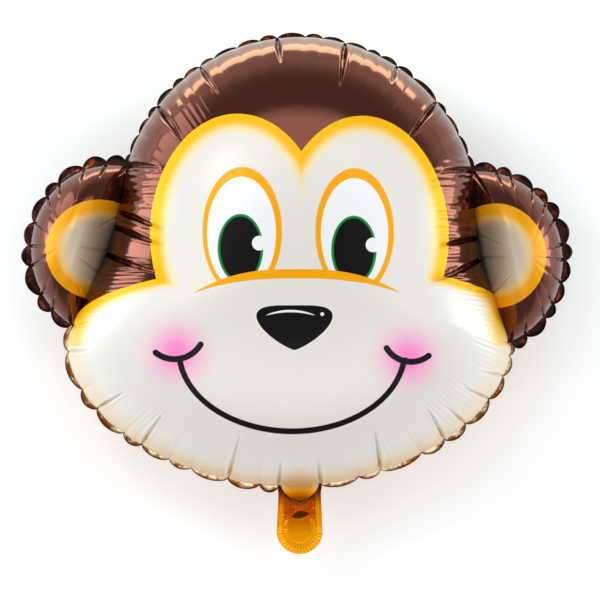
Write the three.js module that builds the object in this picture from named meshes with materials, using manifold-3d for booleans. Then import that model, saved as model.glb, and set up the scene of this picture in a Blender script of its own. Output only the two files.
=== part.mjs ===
// A foil balloon in the shape of a monkey's head, full of air and lying on its back with the face up.
// Two sheets of metallised film are welded along their outline. The weld band stands out all round as a
// flat edge that puckers into scallops, and the film is gathered into a pleat at each pinch between them.
// The head is one round dome, an ear on each side is a lower lobe behind a valley, and the filling tail
// hangs from the chin. The balloon is sealed, so it is one solid.
//
// Millimetres. +Z is up and out of the face, +Y runs from the chin to the crown, +X is to the right of a
// person looking down at the face. The origin is under the middle of the balloon, on what it lies on.
import * as THREE from "three";
import { mergeVertices } from "three/addons/utils/BufferGeometryUtils.js";
import Module from "manifold-3d";

// The inflated outline along the weld is made of ellipses: centre and half axes.
const crown = { x: 3, y: 80, rx: 199, ry: 202 };
const muzzle = { x: -7.8, y: -59.9, rx: 244.3, ry: 154.6, power: 1.83 }; // an ellipse has power 2
const headHub = { x: 0, y: 20 }; // every point of the head's outline is seen from here
const waistRound = 5; // how far the corners between crown and muzzle are rounded

// An ear's middle lies this far outside the crown's side and below the crown's middle.
const leftEar = { side: -1, outside: 9, below: 34, rx: 89, ry: 95, scallops: 10 };
const rightEar = { side: 1, outside: 3, below: 44, rx: 91, ry: 98, scallops: 12 };

// Depths from the seam plane, and how full the head is: 2 is an ellipsoid, more is fuller.
const faceDepth = 115;
const backDepth = 112;
const restFlat = 4; // the back is flattened this much where the balloon lies on it
const fullness = 2.4;
const earDepth = 50;
const earReach = 32; // the size of lobe at which an ear has its full depth
const valleyDepth = 12; // how far an ear's film runs on under the head's side
const headOverhang = 6; // how far the head's side bulges over the valley

// The weld band, its scallops and the pleats that start at the pinches between them.
const bandWidth = 8.5;
const bandThickness = 1.2;
const bandCurl = 3.5; // the scallops cup towards the back by this much
const pinchWidth = 2.2; // width of the band that is left at a pinch
const pinchDent = 2.5; // the weld line is drawn in this far at a pinch, but not where two lobes meet
const edgeReach = 14; // nearer the weld than this, pleats cut sideways more than down
const scallopBulge = { height: 1.6, length: 28 }; // the film swells between two pleats
const scallopJitter = { share: 0.28, turn: 2.4 }; // how much and how quickly the scallops vary in length
const scallopPower = 0.6; // below 1 a scallop is fuller than a sine arch
const shortPleat = { length: 12, depth: 2.5, dent: pinchDent }; // at every pinch that carries no long pleat
const earNotchPleat = { length: 12, depth: 2.5, dent: 0 };
const hiddenColumns = 3;

// The long pleats, anticlockwise round the head: the angle at which each leaves the weld as seen from the
// head's hub, the scallops between it and the one before, and its length and depth.
const rightNotchPleat = { length: 34, depth: 6, dent: 0 };
const crownPleats = [
  { angle: 51, scallops: 4, length: 46, depth: 7 },
  { angle: 64, scallops: 2, length: 20, depth: 4 },
  { angle: 78, scallops: 3, length: 46, depth: 7 },
  { angle: 95, scallops: 3, length: 28, depth: 6 },
  { angle: 115, scallops: 4, length: 35, depth: 6 },
  { angle: 130, scallops: 3, length: 43, depth: 7 },
];
const crownLastScallops = 4;
const leftNotchPleat = { length: 36, depth: 6, dent: 0 };
const leftSidePleats = [
  { angle: 161, scallops: 2, length: 40, depth: 6 },
  { angle: 166, scallops: 1, length: 43, depth: 6 },
  { angle: 174, scallops: 1, length: 52, depth: 7 },
];
const leftSideLast = 1;
const leftWaistPleat = { length: 20, depth: 4, dent: 0 };
const leftMuzzlePleats = [
  { angle: 199, scallops: 1, length: 22, depth: 4 },
  { angle: 214, scallops: 2, length: 32, depth: 6 },
  { angle: 228, scallops: 2, length: 38, depth: 6 },
  { angle: 252, scallops: 3, length: 46, depth: 5 },
];
const leftMuzzleLastScallops = 2;
const chinPleat = { length: 28, depth: 4 };
const rightMuzzlePleats = [
  { angle: 293, scallops: 2, length: 40, depth: 6 },
  { angle: 312, scallops: 2, length: 36, depth: 6 },
  { angle: 318.5, scallops: 1, length: 28, depth: 5 },
  { angle: 327, scallops: 1, length: 28, depth: 5 },
  { angle: 334, scallops: 1, length: 23, depth: 4 },
];
const rightMuzzleLastScallops = 2;
const rightWaistPleat = { length: 20, depth: 4, dent: 0 };
const rightSidePleats = [
  { angle: 4.8, scallops: 1, length: 56, depth: 7 },
  { angle: 11, scallops: 1, length: 44, depth: 6 },
];
const rightSideLast = 3;

// The filling tail: a flat welded tab with a shallow pocket inside its weld, and the filling slit. It
// hangs from the chin, whose film swells a little way into its neck.
const tail = { x: 4, neckWidth: 46, endWidth: 51, length: 75.5, root: 23.5 };
const tailWeld = 8;
const tailBand = 1.4;
const pocketThickness = 5;
const pocketBevel = 1.4;
const slit = { belowChin: 31.5, width: 19, height: 6.5, depth: 1 };
const neckSwell = { rx: 22, ry: 22.5, rz: 12 };

// How finely the surfaces are cut.
const headRings = 12;
const earRings = 8;
const traceSteps = 2880;
const halvings = 40;
const arcSteps = 24;
const swellSteps = { around: 20, down: 12 };
const weldProbe = 1; // the weld's direction is taken between points this far on and back
const mergeGap = 1e-4; // corners nearer than this are one

const wasm = await Module();
wasm.setup();

const chinY = muzzle.y - muzzle.ry;

function placeEar(ear) {
  return { ...ear, x: crown.x + ear.side * (crown.rx + ear.outside), y: crown.y - ear.below };
}

const ears = [leftEar, rightEar].map(placeEar);

const smoothMax = (a, b, round) => {
  const near = Math.max(round - Math.abs(a - b), 0) / round;
  return Math.max(a, b) + (near * near * round) / 4;
};

// How far from a hub a ray leaves an ellipse, or 0 where it misses it.
function exitRadius(lobe, hub, ux, uy) {
  const px = (hub.x - lobe.x) / lobe.rx;
  const py = (hub.y - lobe.y) / lobe.ry;
  const dx = ux / lobe.rx;
  const dy = uy / lobe.ry;
  const a = dx * dx + dy * dy;
  const b = px * dx + py * dy;
  const inside = b * b - a * (px * px + py * py - 1);
  return inside < 0 ? 0 : (Math.sqrt(inside) - b) / a;
}

// How far from the head's hub a ray leaves the muzzle, found by halving.
function muzzleRadius(ux, uy) {
  let near = 0;
  let far = muzzle.rx + muzzle.ry;
  for (let i = 0; i < halvings; i++) {
    const middle = (near + far) / 2;
    const across = Math.abs((headHub.x + middle * ux - muzzle.x) / muzzle.rx);
    const up = Math.abs((headHub.y + middle * uy - muzzle.y) / muzzle.ry);
    if (across ** muzzle.power + up ** muzzle.power < 1) near = middle;
    else far = middle;
  }
  return near;
}

const headOutline = (ux, uy) =>
  smoothMax(exitRadius(crown, headHub, ux, uy), muzzleRadius(ux, uy), waistRound);

// 1 in the middle of an ellipse, 0 on it and less outside.
const insideEllipse = (lobe, x, y) => 1 - ((x - lobe.x) / lobe.rx) ** 2 - ((y - lobe.y) / lobe.ry) ** 2;

function insideHead(x, y) {
  const reach = Math.hypot(x - headHub.x, y - headHub.y);
  return reach < headOutline((x - headHub.x) / reach, (y - headHub.y) / reach);
}

// The notches above and below an ear, where its ellipse crosses the head's outline.
function notchesOf(ear) {
  const crossings = [];
  let wasInside = null;
  for (let i = 0; i <= traceSteps; i++) {
    const angle = (2 * Math.PI * i) / traceSteps;
    const x = ear.x + ear.rx * Math.cos(angle);
    const y = ear.y + ear.ry * Math.sin(angle);
    const isInside = insideHead(x, y);
    if (wasInside !== null && isInside !== wasInside) crossings.push({ x, y });
    wasInside = isInside;
  }
  crossings.sort((a, b) => b.y - a.y);
  return [crossings[0], crossings[crossings.length - 1]];
}

// The valley behind an ear runs straight from notch to notch. out points away from the head.
function valleyOf(ear) {
  const [top, bottom] = notchesOf(ear);
  const length = Math.hypot(bottom.x - top.x, bottom.y - top.y);
  const along = { x: (bottom.x - top.x) / length, y: (bottom.y - top.y) / length };
  const turn = Math.sign(along.y) * ear.side;
  return { top, along, length, out: { x: turn * along.y, y: -turn * along.x } };
}

const valleys = ears.map(valleyOf);

const beyond = (valley, x, y) =>
  (x - valley.top.x) * valley.out.x + (y - valley.top.y) * valley.out.y;
const shareAlong = (valley, x, y) =>
  ((x - valley.top.x) * valley.along.x + (y - valley.top.y) * valley.along.y) / valley.length;

// The head's own outline, which behind an ear lies a little past the valley.
function headRadius(ux, uy) {
  for (const valley of valleys) {
    const facing = ux * valley.out.x + uy * valley.out.y;
    if (facing <= 0) continue;
    const radius = -beyond(valley, headHub.x, headHub.y) / facing;
    const share = shareAlong(valley, headHub.x + radius * ux, headHub.y + radius * uy);
    if (share > 0 && share < 1) return radius + headOverhang * Math.sin(Math.PI * share);
  }
  return headOutline(ux, uy);
}

// An ear's own outline: its ellipse, cut off straight a little inside the valley.
function earRadius(ear, valley, hub, ux, uy) {
  const round = exitRadius(ear, hub, ux, uy);
  const inward = -(ux * valley.out.x + uy * valley.out.y);
  if (inward <= 0) return round;
  return Math.min(round, (beyond(valley, hub.x, hub.y) + valleyDepth) / inward);
}

function headHeight(x, y) {
  const reach = Math.hypot(x - headHub.x, y - headHub.y);
  if (reach === 0) return 1;
  const share = reach / headRadius((x - headHub.x) / reach, (y - headHub.y) / reach);
  return Math.sqrt(Math.max(0, 1 - share ** fullness));
}

function earHeight(ear, valley, x, y) {
  const inside = Math.max(0, insideEllipse(ear, x, y));
  const past = Math.max(0, beyond(valley, x, y) + valleyDepth);
  return Math.sqrt((inside * past) / earReach);
}

// A lobe's outline, anticlockwise from its start angle, with the length run so far.
function trace(lobe) {
  const points = [];
  let run = 0;
  for (let i = 0; i <= traceSteps; i++) {
    const angle = lobe.startAngle + (2 * Math.PI * i) / traceSteps;
    const radius = lobe.radius(Math.cos(angle), Math.sin(angle));
    const point = { x: lobe.hub.x + radius * Math.cos(angle), y: lobe.hub.y + radius * Math.sin(angle) };
    if (i > 0) run += Math.hypot(point.x - points[i - 1].x, point.y - points[i - 1].y);
    points.push({ ...point, run, covered: lobe.covered(point) });
  }
  return points;
}

// The point of an outline after a given length of it.
function pointAlong(points, run) {
  const whole = points[traceSteps].run;
  const wanted = ((run % whole) + whole) % whole;
  let low = 0;
  let high = traceSteps;
  while (high - low > 1) {
    const middle = (low + high) >> 1;
    if (points[middle].run <= wanted) low = middle;
    else high = middle;
  }
  const [a, b] = [points[low], points[high]];
  const share = (wanted - a.run) / (b.run - a.run);
  return { x: a.x + (b.x - a.x) * share, y: a.y + (b.y - a.y) * share };
}

// The lengths along an outline where it goes under a neighbouring lobe or comes out again.
const flipsOf = (points) =>
  points.filter((point, i) => i > 0 && point.covered !== points[i - 1].covered).map((point) => point.run);

// Where one of the tail's edges leaves the chin.
function chinRun(points, x) {
  const chin = points.filter((point) => point.y < muzzle.y);
  return chin.reduce((best, p) => (Math.abs(p.x - x) < Math.abs(best.x - x) ? p : best)).run;
}

// A stretch of weld between two runs, cut at its long pleats. Each section says which pleat it starts
// with and how many scallops it has; band is 1 where the weld band shows and 0 where it is hidden.
function sectionsOf(points, { from, to, start, pleats, last, band }) {
  const whole = points[traceSteps].run;
  const sections = [];
  let section = { from, pleat: start, band };
  for (const pleat of pleats) {
    const steps = Math.round((pleat.angle / 360) * traceSteps);
    const run = points[steps].run + (points[steps].run < section.from ? whole : 0);
    sections.push({ ...section, to: run, count: pleat.scallops });
    section = { from: run, pleat, band };
  }
  return [...sections, { ...section, to, count: last }];
}

function headSections(points) {
  const [rightTop, leftTop, leftBottom, rightBottom] = flipsOf(points);
  const tailLeft = chinRun(points, tail.x - tail.neckWidth / 2);
  const tailRight = chinRun(points, tail.x + tail.neckWidth / 2);
  const whole = points[traceSteps].run;
  const crownTop = { start: rightNotchPleat, pleats: crownPleats, last: crownLastScallops, band: 1 };
  const leftSide = { start: leftNotchPleat, pleats: leftSidePleats, last: leftSideLast, band: 0 };
  const leftJaw = { start: leftWaistPleat, pleats: leftMuzzlePleats, last: leftMuzzleLastScallops, band: 1 };
  const neck = { start: chinPleat, pleats: [], last: 1, band: 0 };
  const rightJaw = { start: chinPleat, pleats: rightMuzzlePleats, last: rightMuzzleLastScallops, band: 1 };
  const rightSide = { start: rightWaistPleat, pleats: rightSidePleats, last: rightSideLast, band: 0 };
  const stretches = [
    { from: rightTop, to: leftTop, ...crownTop },
    { from: leftTop, to: leftBottom, ...leftSide },
    { from: leftBottom, to: tailLeft, ...leftJaw },
    { from: tailLeft, to: tailRight, ...neck },
    { from: tailRight, to: rightBottom, ...rightJaw },
    { from: rightBottom, to: rightTop + whole, ...rightSide },
  ];
  return stretches.flatMap((stretch) => sectionsOf(points, stretch));
}

function earSections(points, ear) {
  const [outwards, inwards] = flipsOf(points);
  return [
    { from: outwards, to: inwards, pleat: earNotchPleat, count: ear.scallops, band: 1 },
    { from: inwards, to: outwards + points[traceSteps].run, pleat: null, count: hiddenColumns, band: 0 },
  ];
}

// Four columns for each scallop: at the pinch, a quarter, the middle and three quarters of it.
// The scallops differ a little in length, as puckers in film do.
function columnsOf(points, sections) {
  const columns = [];
  for (const { from, to, count, pleat, band } of sections) {
    const vary = (i) => 1 + scallopJitter.share * Math.sin(scallopJitter.turn * i + count);
    const shares = Array.from({ length: count }, (_, i) => vary(i));
    const whole = shares.reduce((sum, share) => sum + share, 0);
    let start = from;
    shares.forEach((share, i) => {
      const length = ((to - from) * share) / whole;
      for (const quarter of [0, 1, 2, 3]) {
        const run = start + (length * quarter) / 4;
        const [ahead, behind] = [pointAlong(points, run + weldProbe), pointAlong(points, run - weldProbe)];
        const out = new THREE.Vector2(ahead.y - behind.y, behind.x - ahead.x).normalize();
        const swell = band * Math.sin((Math.PI * quarter) / 4) ** scallopPower;
        const pinch = pleat && quarter === 0 ? (i === 0 ? { dent: pinchDent, ...pleat } : shortPleat) : null;
        columns.push({ weld: pointAlong(points, run), out, swell, pinch, gathered: pleat !== null });
      }
      start += length;
    });
  }
  return columns;
}

// How far the film is pushed out between pleats, or in at a pleat, at a distance from the weld.
function pushOf(column, fromWeld) {
  if (!column.gathered) return 0;
  const { height, length } = column.pinch
    ? { height: -column.pinch.depth, length: column.pinch.length }
    : scallopBulge;
  return height * Math.exp(-((fromWeld / length) ** 2));
}

// One point of a lobe's film: ring 0 is the hub and the last ring is the weld line. Pleats cut in
// sideways next to the weld, and downwards further in.
function filmPoint(lobe, column, ring, side) {
  const dent = column.pinch?.dent ?? 0;
  if (ring === lobe.rings) {
    const x = column.weld.x - column.out.x * dent;
    return new THREE.Vector3(x, column.weld.y - column.out.y * dent, (side * bandThickness) / 2);
  }
  const share = Math.sin((Math.PI / 2) * (ring / lobe.rings));
  const x = lobe.hub.x + (column.weld.x - lobe.hub.x) * share;
  const y = lobe.hub.y + (column.weld.y - lobe.hub.y) * share;
  const fromWeld = Math.hypot(column.weld.x - x, column.weld.y - y);
  const push = pushOf(column, fromWeld);
  const sideways = push * Math.exp(-fromWeld / edgeReach);
  const height = lobe.depth(side) * lobe.height(x, y) + push - sideways;
  const z = side * (Math.max(height, 0) + bandThickness / 2);
  return new THREE.Vector3(x + column.out.x * sideways, y + column.out.y * sideways, z);
}

// A point on the outer edge of the weld band.
function bandPoint(column, side) {
  const dent = column.pinch?.dent ?? 0;
  const width = pinchWidth + (bandWidth - pinchWidth) * column.swell - dent;
  const { weld, out, swell } = column;
  const height = (side * bandThickness) / 2 - bandCurl * swell;
  return new THREE.Vector3(weld.x + out.x * width, weld.y + out.y * width, height);
}

function solidOf(geometry) {
  const bare = geometry.index ? geometry.toNonIndexed() : geometry.clone();
  bare.deleteAttribute("normal");
  bare.deleteAttribute("uv");
  const merged = mergeVertices(bare, mergeGap);
  const vertProperties = merged.getAttribute("position").array;
  const triVerts = new Uint32Array(merged.index.array);
  return new wasm.Manifold(new wasm.Mesh({ numProp: 3, vertProperties, triVerts }));
}

function geometryOf(solid) {
  const { numProp, vertProperties, triVerts } = solid.getMesh();
  const places = new Float32Array((vertProperties.length / numProp) * 3);
  for (let i = 0; i < places.length / 3; i++) {
    places.set(vertProperties.subarray(i * numProp, i * numProp + 3), i * 3);
  }
  const geometry = new THREE.BufferGeometry();
  geometry.setAttribute("position", new THREE.BufferAttribute(places, 3));
  geometry.setIndex(new THREE.BufferAttribute(triVerts, 1));
  geometry.computeVertexNormals();
  return geometry;
}

// One inflated lobe, front and back, with its puckered weld band. The film has a column at every
// second point of the band.
function inflate(lobe) {
  const points = trace(lobe);
  const columns = columnsOf(points, lobe.sections(points));
  const filmColumns = columns.filter((_, i) => i % 2 === 0);
  const corners = [];
  for (const side of [1, -1]) {
    const face = (a, b, c) => corners.push(...(side > 0 ? [a, b, c] : [a, c, b]));
    const film = filmColumns.map((column) =>
      Array.from({ length: lobe.rings }, (_, i) => filmPoint(lobe, column, i + 1, side)),
    );
    const band = columns.map((column) => bandPoint(column, side));
    const hubHeight = lobe.depth(side) * lobe.height(lobe.hub.x, lobe.hub.y) + bandThickness / 2;
    const middle = new THREE.Vector3(lobe.hub.x, lobe.hub.y, side * hubHeight);
    film.forEach((here, i) => {
      const next = film[(i + 1) % film.length];
      face(middle, here[0], next[0]);
      for (let ring = 1; ring < lobe.rings; ring++) {
        face(here[ring - 1], here[ring], next[ring]);
        face(here[ring - 1], next[ring], next[ring - 1]);
      }
      const [weld, nextWeld] = [here[lobe.rings - 1], next[lobe.rings - 1]];
      const edge = [0, 1, 2].map((step) => band[(2 * i + step) % band.length]);
      face(weld, edge[0], edge[1]);
      face(weld, edge[1], nextWeld);
      face(nextWeld, edge[1], edge[2]);
    });
  }
  columns.forEach((column, i) => {
    const next = columns[(i + 1) % columns.length];
    const [top, nextTop] = [bandPoint(column, 1), bandPoint(next, 1)];
    const [under, nextUnder] = [bandPoint(column, -1), bandPoint(next, -1)];
    corners.push(top, under, nextUnder, top, nextUnder, nextTop);
  });
  return solidOf(new THREE.BufferGeometry().setFromPoints(corners));
}

const headLobe = {
  hub: headHub,
  startAngle: 0,
  rings: headRings,
  radius: headRadius,
  height: headHeight,
  depth: (side) => (side > 0 ? faceDepth : backDepth),
  covered: ({ x, y }) =>
    ears.some((ear, i) => insideEllipse(ear, x, y) > 0 && beyond(valleys[i], x, y) > 0),
  sections: headSections,
};

function earLobe(ear, valley) {
  const middleX = valley.top.x + (valley.along.x * valley.length) / 2;
  const middleY = valley.top.y + (valley.along.y * valley.length) / 2;
  const hub = { x: (middleX + ear.x + ear.side * ear.rx) / 2, y: middleY };
  return {
    hub,
    startAngle: ear.side < 0 ? 0 : Math.PI,
    rings: earRings,
    radius: (ux, uy) => earRadius(ear, valley, hub, ux, uy),
    height: (x, y) => earHeight(ear, valley, x, y),
    depth: () => earDepth,
    covered: ({ x, y }) => insideHead(x, y) || beyond(valley, x, y) < 0,
    sections: (points) => earSections(points, ear),
  };
}

// The tail's outline, drawn inset from its edge by a given amount.
function tailShape(inset) {
  const endRadius = tail.endWidth / 2;
  const neck = tail.neckWidth / 2 - inset;
  const shape = new THREE.Shape();
  const topY = chinY + tail.root;
  const endCentreY = chinY - tail.length + endRadius;
  shape.moveTo(tail.x - neck, topY);
  shape.lineTo(tail.x - endRadius + inset, endCentreY);
  shape.absarc(tail.x, endCentreY, endRadius - inset, Math.PI, 2 * Math.PI, false);
  shape.lineTo(tail.x + neck, topY);
  return shape;
}

function slab(shape, thickness, bevel) {
  const depth = thickness - 2 * bevel;
  const bevels = { bevelThickness: bevel, bevelSize: bevel, bevelOffset: -bevel, bevelSegments: 2 };
  const options = { depth, curveSegments: arcSteps, bevelEnabled: bevel > 0, ...bevels };
  return solidOf(new THREE.ExtrudeGeometry(shape, options).translate(0, 0, -depth / 2));
}

// The film of the chin where it swells into the tail's neck, front and back.
function swollenNeck() {
  const ball = new THREE.SphereGeometry(1, swellSteps.around, swellSteps.down);
  ball.scale(neckSwell.rx, neckSwell.ry, neckSwell.rz);
  return solidOf(ball.translate(tail.x, chinY, 0));
}

// The filling tail, a flat tab in the seam plane with the filling slit pressed into its front.
function fillingTail() {
  const pocket = slab(tailShape(tailWeld), pocketThickness, pocketBevel);
  const lens = new THREE.Shape();
  lens.absellipse(tail.x, chinY - slit.belowChin, slit.width / 2, slit.height / 2, 0, 2 * Math.PI);
  const options = { depth: pocketThickness, bevelEnabled: false, curveSegments: arcSteps };
  const press = new THREE.ExtrudeGeometry(lens, options);
  press.translate(0, 0, pocketThickness / 2 - slit.depth);
  return slab(tailShape(0), tailBand, 0).add(pocket).subtract(solidOf(press)).add(swollenNeck());
}

// Cuts the flat on the back, and sets the balloon down on it with the origin under its middle.
function settle(solid) {
  const span = 2 * (crown.rx + muzzle.rx);
  const ground = new THREE.BoxGeometry(span, span, backDepth);
  ground.translate(0, 0, restFlat - backDepth - bandThickness / 2 - backDepth / 2);
  const geometry = geometryOf(solid.subtract(solidOf(ground)));
  geometry.computeBoundingBox();
  const { min, max } = geometry.boundingBox;
  return geometry.translate(-(min.x + max.x) / 2, -(min.y + max.y) / 2, -min.z);
}

function foilBalloon() {
  const lobes = [headLobe, ...ears.map((ear, i) => earLobe(ear, valleys[i]))];
  const envelope = lobes.map(inflate).reduce((whole, lobe) => whole.add(lobe));
  const film = new THREE.MeshStandardMaterial({ color: 0x6b3a2c, roughness: 0.16, metalness: 0.9 });
  const balloon = new THREE.Mesh(settle(envelope.add(fillingTail())), film);
  balloon.name = "foil_balloon";
  return balloon;
}

const part = new THREE.Group();
part.add(foilBalloon());

export default part;
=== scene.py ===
# A foil balloon in the shape of a smiling monkey's head, full of air and lying face up on a pale floor.
# Lengths in the dictionaries are millimetres as drawn on the face, with x to the right, y to the crown and
# height above the weld. toFrame turns them into metres in the shared frame.
import math

import bmesh
import bpy
import numpy as np
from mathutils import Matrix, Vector


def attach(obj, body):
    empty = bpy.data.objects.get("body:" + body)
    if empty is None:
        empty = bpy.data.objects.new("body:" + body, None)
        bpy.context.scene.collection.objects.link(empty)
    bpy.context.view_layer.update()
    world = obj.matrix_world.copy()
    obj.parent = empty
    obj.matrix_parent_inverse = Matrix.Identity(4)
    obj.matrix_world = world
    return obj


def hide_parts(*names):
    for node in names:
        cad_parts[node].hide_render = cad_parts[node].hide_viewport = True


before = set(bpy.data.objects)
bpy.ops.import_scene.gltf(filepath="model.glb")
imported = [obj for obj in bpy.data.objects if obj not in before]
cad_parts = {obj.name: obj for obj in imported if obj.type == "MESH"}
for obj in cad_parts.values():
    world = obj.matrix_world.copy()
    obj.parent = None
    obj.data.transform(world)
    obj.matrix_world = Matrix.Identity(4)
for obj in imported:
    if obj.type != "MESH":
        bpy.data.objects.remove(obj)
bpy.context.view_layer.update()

mm = 0.001
drawing = {
    "zeroX": -0.918,  # where the drawing's zero lies in the frame
    "zeroY": -0.121,
    "weldHeight": 108.6,  # the weld is this far above the floor
}


def toFrame(points):
    shift = np.array([drawing["zeroX"], drawing["zeroY"], drawing["weldHeight"]])
    return (np.asarray(points, dtype=float) + shift) * mm


# The balloon's form

form = {
    "crown": {"x": 3, "y": 80, "rx": 199, "ry": 202},
    "muzzle": {"x": -7.8, "y": -59.9, "rx": 244.3, "ry": 154.6, "power": 1.83},  # an ellipse has power 2
    "headHub": (0, 20),
    "waistRound": 5,
    "faceDepth": 115,
    "backDepth": 112,
    "fullness": 2.4,
    "headOverhang": -10,  # how far the head stands out over a valley; below 0 its edge is drawn in
    "valleyDepth": 12,  # an ear's film runs this far in behind the valley
    "earDepth": 50,
    "earRise": 56,  # how far from the valley an ear's film has risen
    "earCurve": 0.75,
    "earFull": 1.3,
    "weldThickness": 1.2,
    "traceSteps": 5760,
    "halvings": 40,
    "leastFacing": 0.05,
}
leftEar = {"side": -1, "x": -205, "y": 46, "rx": 89, "ry": 95, "scallops": 10}
rightEar = {"side": 1, "x": 205, "y": 36, "rx": 91, "ry": 98, "scallops": 12}
ears = [leftEar, rightEar]

# Long pleats go (angle at the weld seen from the hub, scallops since the last one, length, depth, lean).
# A pleat that leans moves this many millimetres along the weld as it runs inwards.
pleats = {
    "rightNotch": (None, 0, 34, 6, 20),
    "crown": [
        (50.8, 4, 48, 6.5, -2),
        (64.0, 2, 19, 3.5, -3),
        (77.9, 3, 46, 6.5, -5),
        (94.6, 3, 27, 5.5, -2),
        (114.9, 4, 35, 4.5, -6),
        (129.6, 3, 44, 5.5, 3),
    ],
    "leftNotch": (None, 0, 36, 6, -22),
    "leftSide": [(160.6, 2, 54, 6, 4), (165.5, 1, 58, 6.5, 9), (174.0, 1, 68, 7, 22)],
    "leftWaist": (None, 0, 12, 2, 0),
    "leftMuzzle": [
        (198.9, 1, 23, 3.0, 7),
        (214.1, 2, 34, 4.5, 2),
        (227.8, 2, 40, 4.5, -6),
        (251.6, 3, 48, 4.5, -3),
    ],
    "chin": (None, 0, 26, 3.5, 0),
    "rightMuzzle": [
        (293.3, 2, 42, 5.5, 13),
        (311.9, 2, 38, 4.5, 10),
        (318.5, 1, 30, 3.5, 0),
        (327.0, 1, 30, 3.5, -5),
        (333.7, 1, 24, 3.0, -7),
    ],
    "rightWaist": (None, 0, 12, 2, 0),
    "rightSide": [(4.8, 1, 66, 6.5, -32), (11.1, 1, 44, 6, 0)],
    "overTail": [],
    # scallops after the last long pleat of each stretch
    "last": {"crown": 4, "leftSide": 1, "leftMuzzle": 2, "overTail": 1, "rightMuzzle": 2, "rightSide": 3},
    "longFrom": 13.5,  # a pleat from this length on is a deep groove
    "deeper": 1.25,  # the grooves are this much deeper than the solid's
    "pinchDent": 2.5,
    "pinchWidth": 2.6,
    "valleyPinches": 6,
    # the film at the pinches without a long pleat, in each part of the outline
    "gathers": {
        "crown": {"length": 9, "depth": 0.8, "dent": 0.9, "swell": 1.1, "band": 0.62},
        "side": {"length": 9, "depth": 0.8, "dent": 0.9, "swell": 2.4, "band": 1},
        "muzzle": {"length": 13, "depth": 1.6, "dent": 1.9, "swell": 1.3, "band": 1},
        "ear": {"length": 14, "depth": 3.4, "dent": 2.2, "swell": 0.9, "band": 1.3},
        "valley": {"length": 32, "depth": 1.8, "dent": 0, "swell": 0, "band": 1},
    },
    "swellLength": 28,
    "grooveWidth": {"crown": 2.0, "side": 1.9, "muzzle": 1.4, "ear": 1.4, "valley": 1.5},
    "atWeld": 0.35,  # share of a groove's depth at the weld
    "fullAfter": 9,  # it has its full depth this far in
    "thinEnd": 0.45,  # share of its width at its ends
    "widestEarly": 0.6,
    "fade": 0.35,
    "keen": (0.6, 0.8),  # the sharp bottom of a groove: share of the depth, share of the width
    "soft": (0.4, 1.3),  # its soft sides
    "lip": (0.2, 1.3, 2.4),  # the swell beside it, with how many widths away it is
    "hollow": (0.25, 11),  # the wide hollow round it: share of the depth, width
    "shortFade": 1.2,
    "shortWidth": 1.9,
}

# Fine ripples between the long pleats: (angle in the middle, half angle, start, end, wave length, height).
# Beside the ears they run level across the film, elsewhere they run in from the weld.
levelRipples = [
    (152, 9, 3, 54, 8.0, 1.0),
    (161, 4, 6, 50, 7.6, 0.6),
    (27, 11, 3, 54, 8.0, 1.1),
    (14, 6, 3, 54, 7.8, 0.9),
    (5, 5, 8, 50, 7.6, 0.6),
]
ripples = [
    (70, 7, 16, 58, 7.5, 0.16),
    (57, 5, 16, 70, 8.0, 0.36),
    (122, 6, 18, 62, 8.5, 0.36),
    (105, 8, 16, 50, 7.8, 0.12),
    (221, 7, 8, 56, 6.2, 0.55),
    (238, 7, 8, 50, 6.6, 0.42),
    (280, 7, 6, 44, 6.2, 0.36),
    (302, 8, 8, 52, 6.6, 0.45),
    (320, 8, 8, 54, 6.2, 0.55),
    (340, 8, 8, 46, 6.2, 0.42),
    (191, 6, 8, 50, 6.6, 0.45),
    (180, 7, 4, 56, 6.2, 0.75),
    (353, 9, 4, 64, 6.2, 0.75),
]
rippleForm = {
    "fadeIn": 9,
    "fadeOut": 18,
    "stray": 0.8,  # how far a crest strays from its line
    "strayEvery": 17,
    "weakest": 0.75,
    "weakEvery": 11,
}


def smoothMax(a, b, roundness):
    near = np.maximum(roundness - np.abs(a - b), 0) / roundness
    return np.maximum(a, b) + near * near * roundness / 4


def exitRadius(lobe, hub, ux, uy):
    px, py = (hub[0] - lobe["x"]) / lobe["rx"], (hub[1] - lobe["y"]) / lobe["ry"]
    dx, dy = ux / lobe["rx"], uy / lobe["ry"]
    a = dx * dx + dy * dy
    b = px * dx + py * dy
    square = b * b - a * (px * px + py * py - 1)
    return np.where(square < 0, 0, (np.sqrt(np.maximum(square, 0)) - b) / a)


def muzzleRadius(ux, uy):
    # found by halving, as the muzzle is leaner than an ellipse
    muzzle, (hubX, hubY) = form["muzzle"], form["headHub"]
    low, high = 0 * ux, 0 * ux + 2 * muzzle["rx"]
    for _ in range(form["halvings"]):
        middle = (low + high) / 2
        q = np.abs((hubX + middle * ux - muzzle["x"]) / muzzle["rx"]) ** muzzle["power"]
        q += np.abs((hubY + middle * uy - muzzle["y"]) / muzzle["ry"]) ** muzzle["power"]
        low, high = np.where(q < 1, middle, low), np.where(q < 1, high, middle)
    return (low + high) / 2


def headOutline(ux, uy):
    crown = exitRadius(form["crown"], form["headHub"], ux, uy)
    return smoothMax(crown, muzzleRadius(ux, uy), form["waistRound"])


def insideHead(x, y):
    dx, dy = x - form["headHub"][0], y - form["headHub"][1]
    reach = np.hypot(dx, dy)
    return reach < headOutline(dx / reach, dy / reach)


def insideEllipse(lobe, x, y):
    return 1 - ((x - lobe["x"]) / lobe["rx"]) ** 2 - ((y - lobe["y"]) / lobe["ry"]) ** 2


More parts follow.
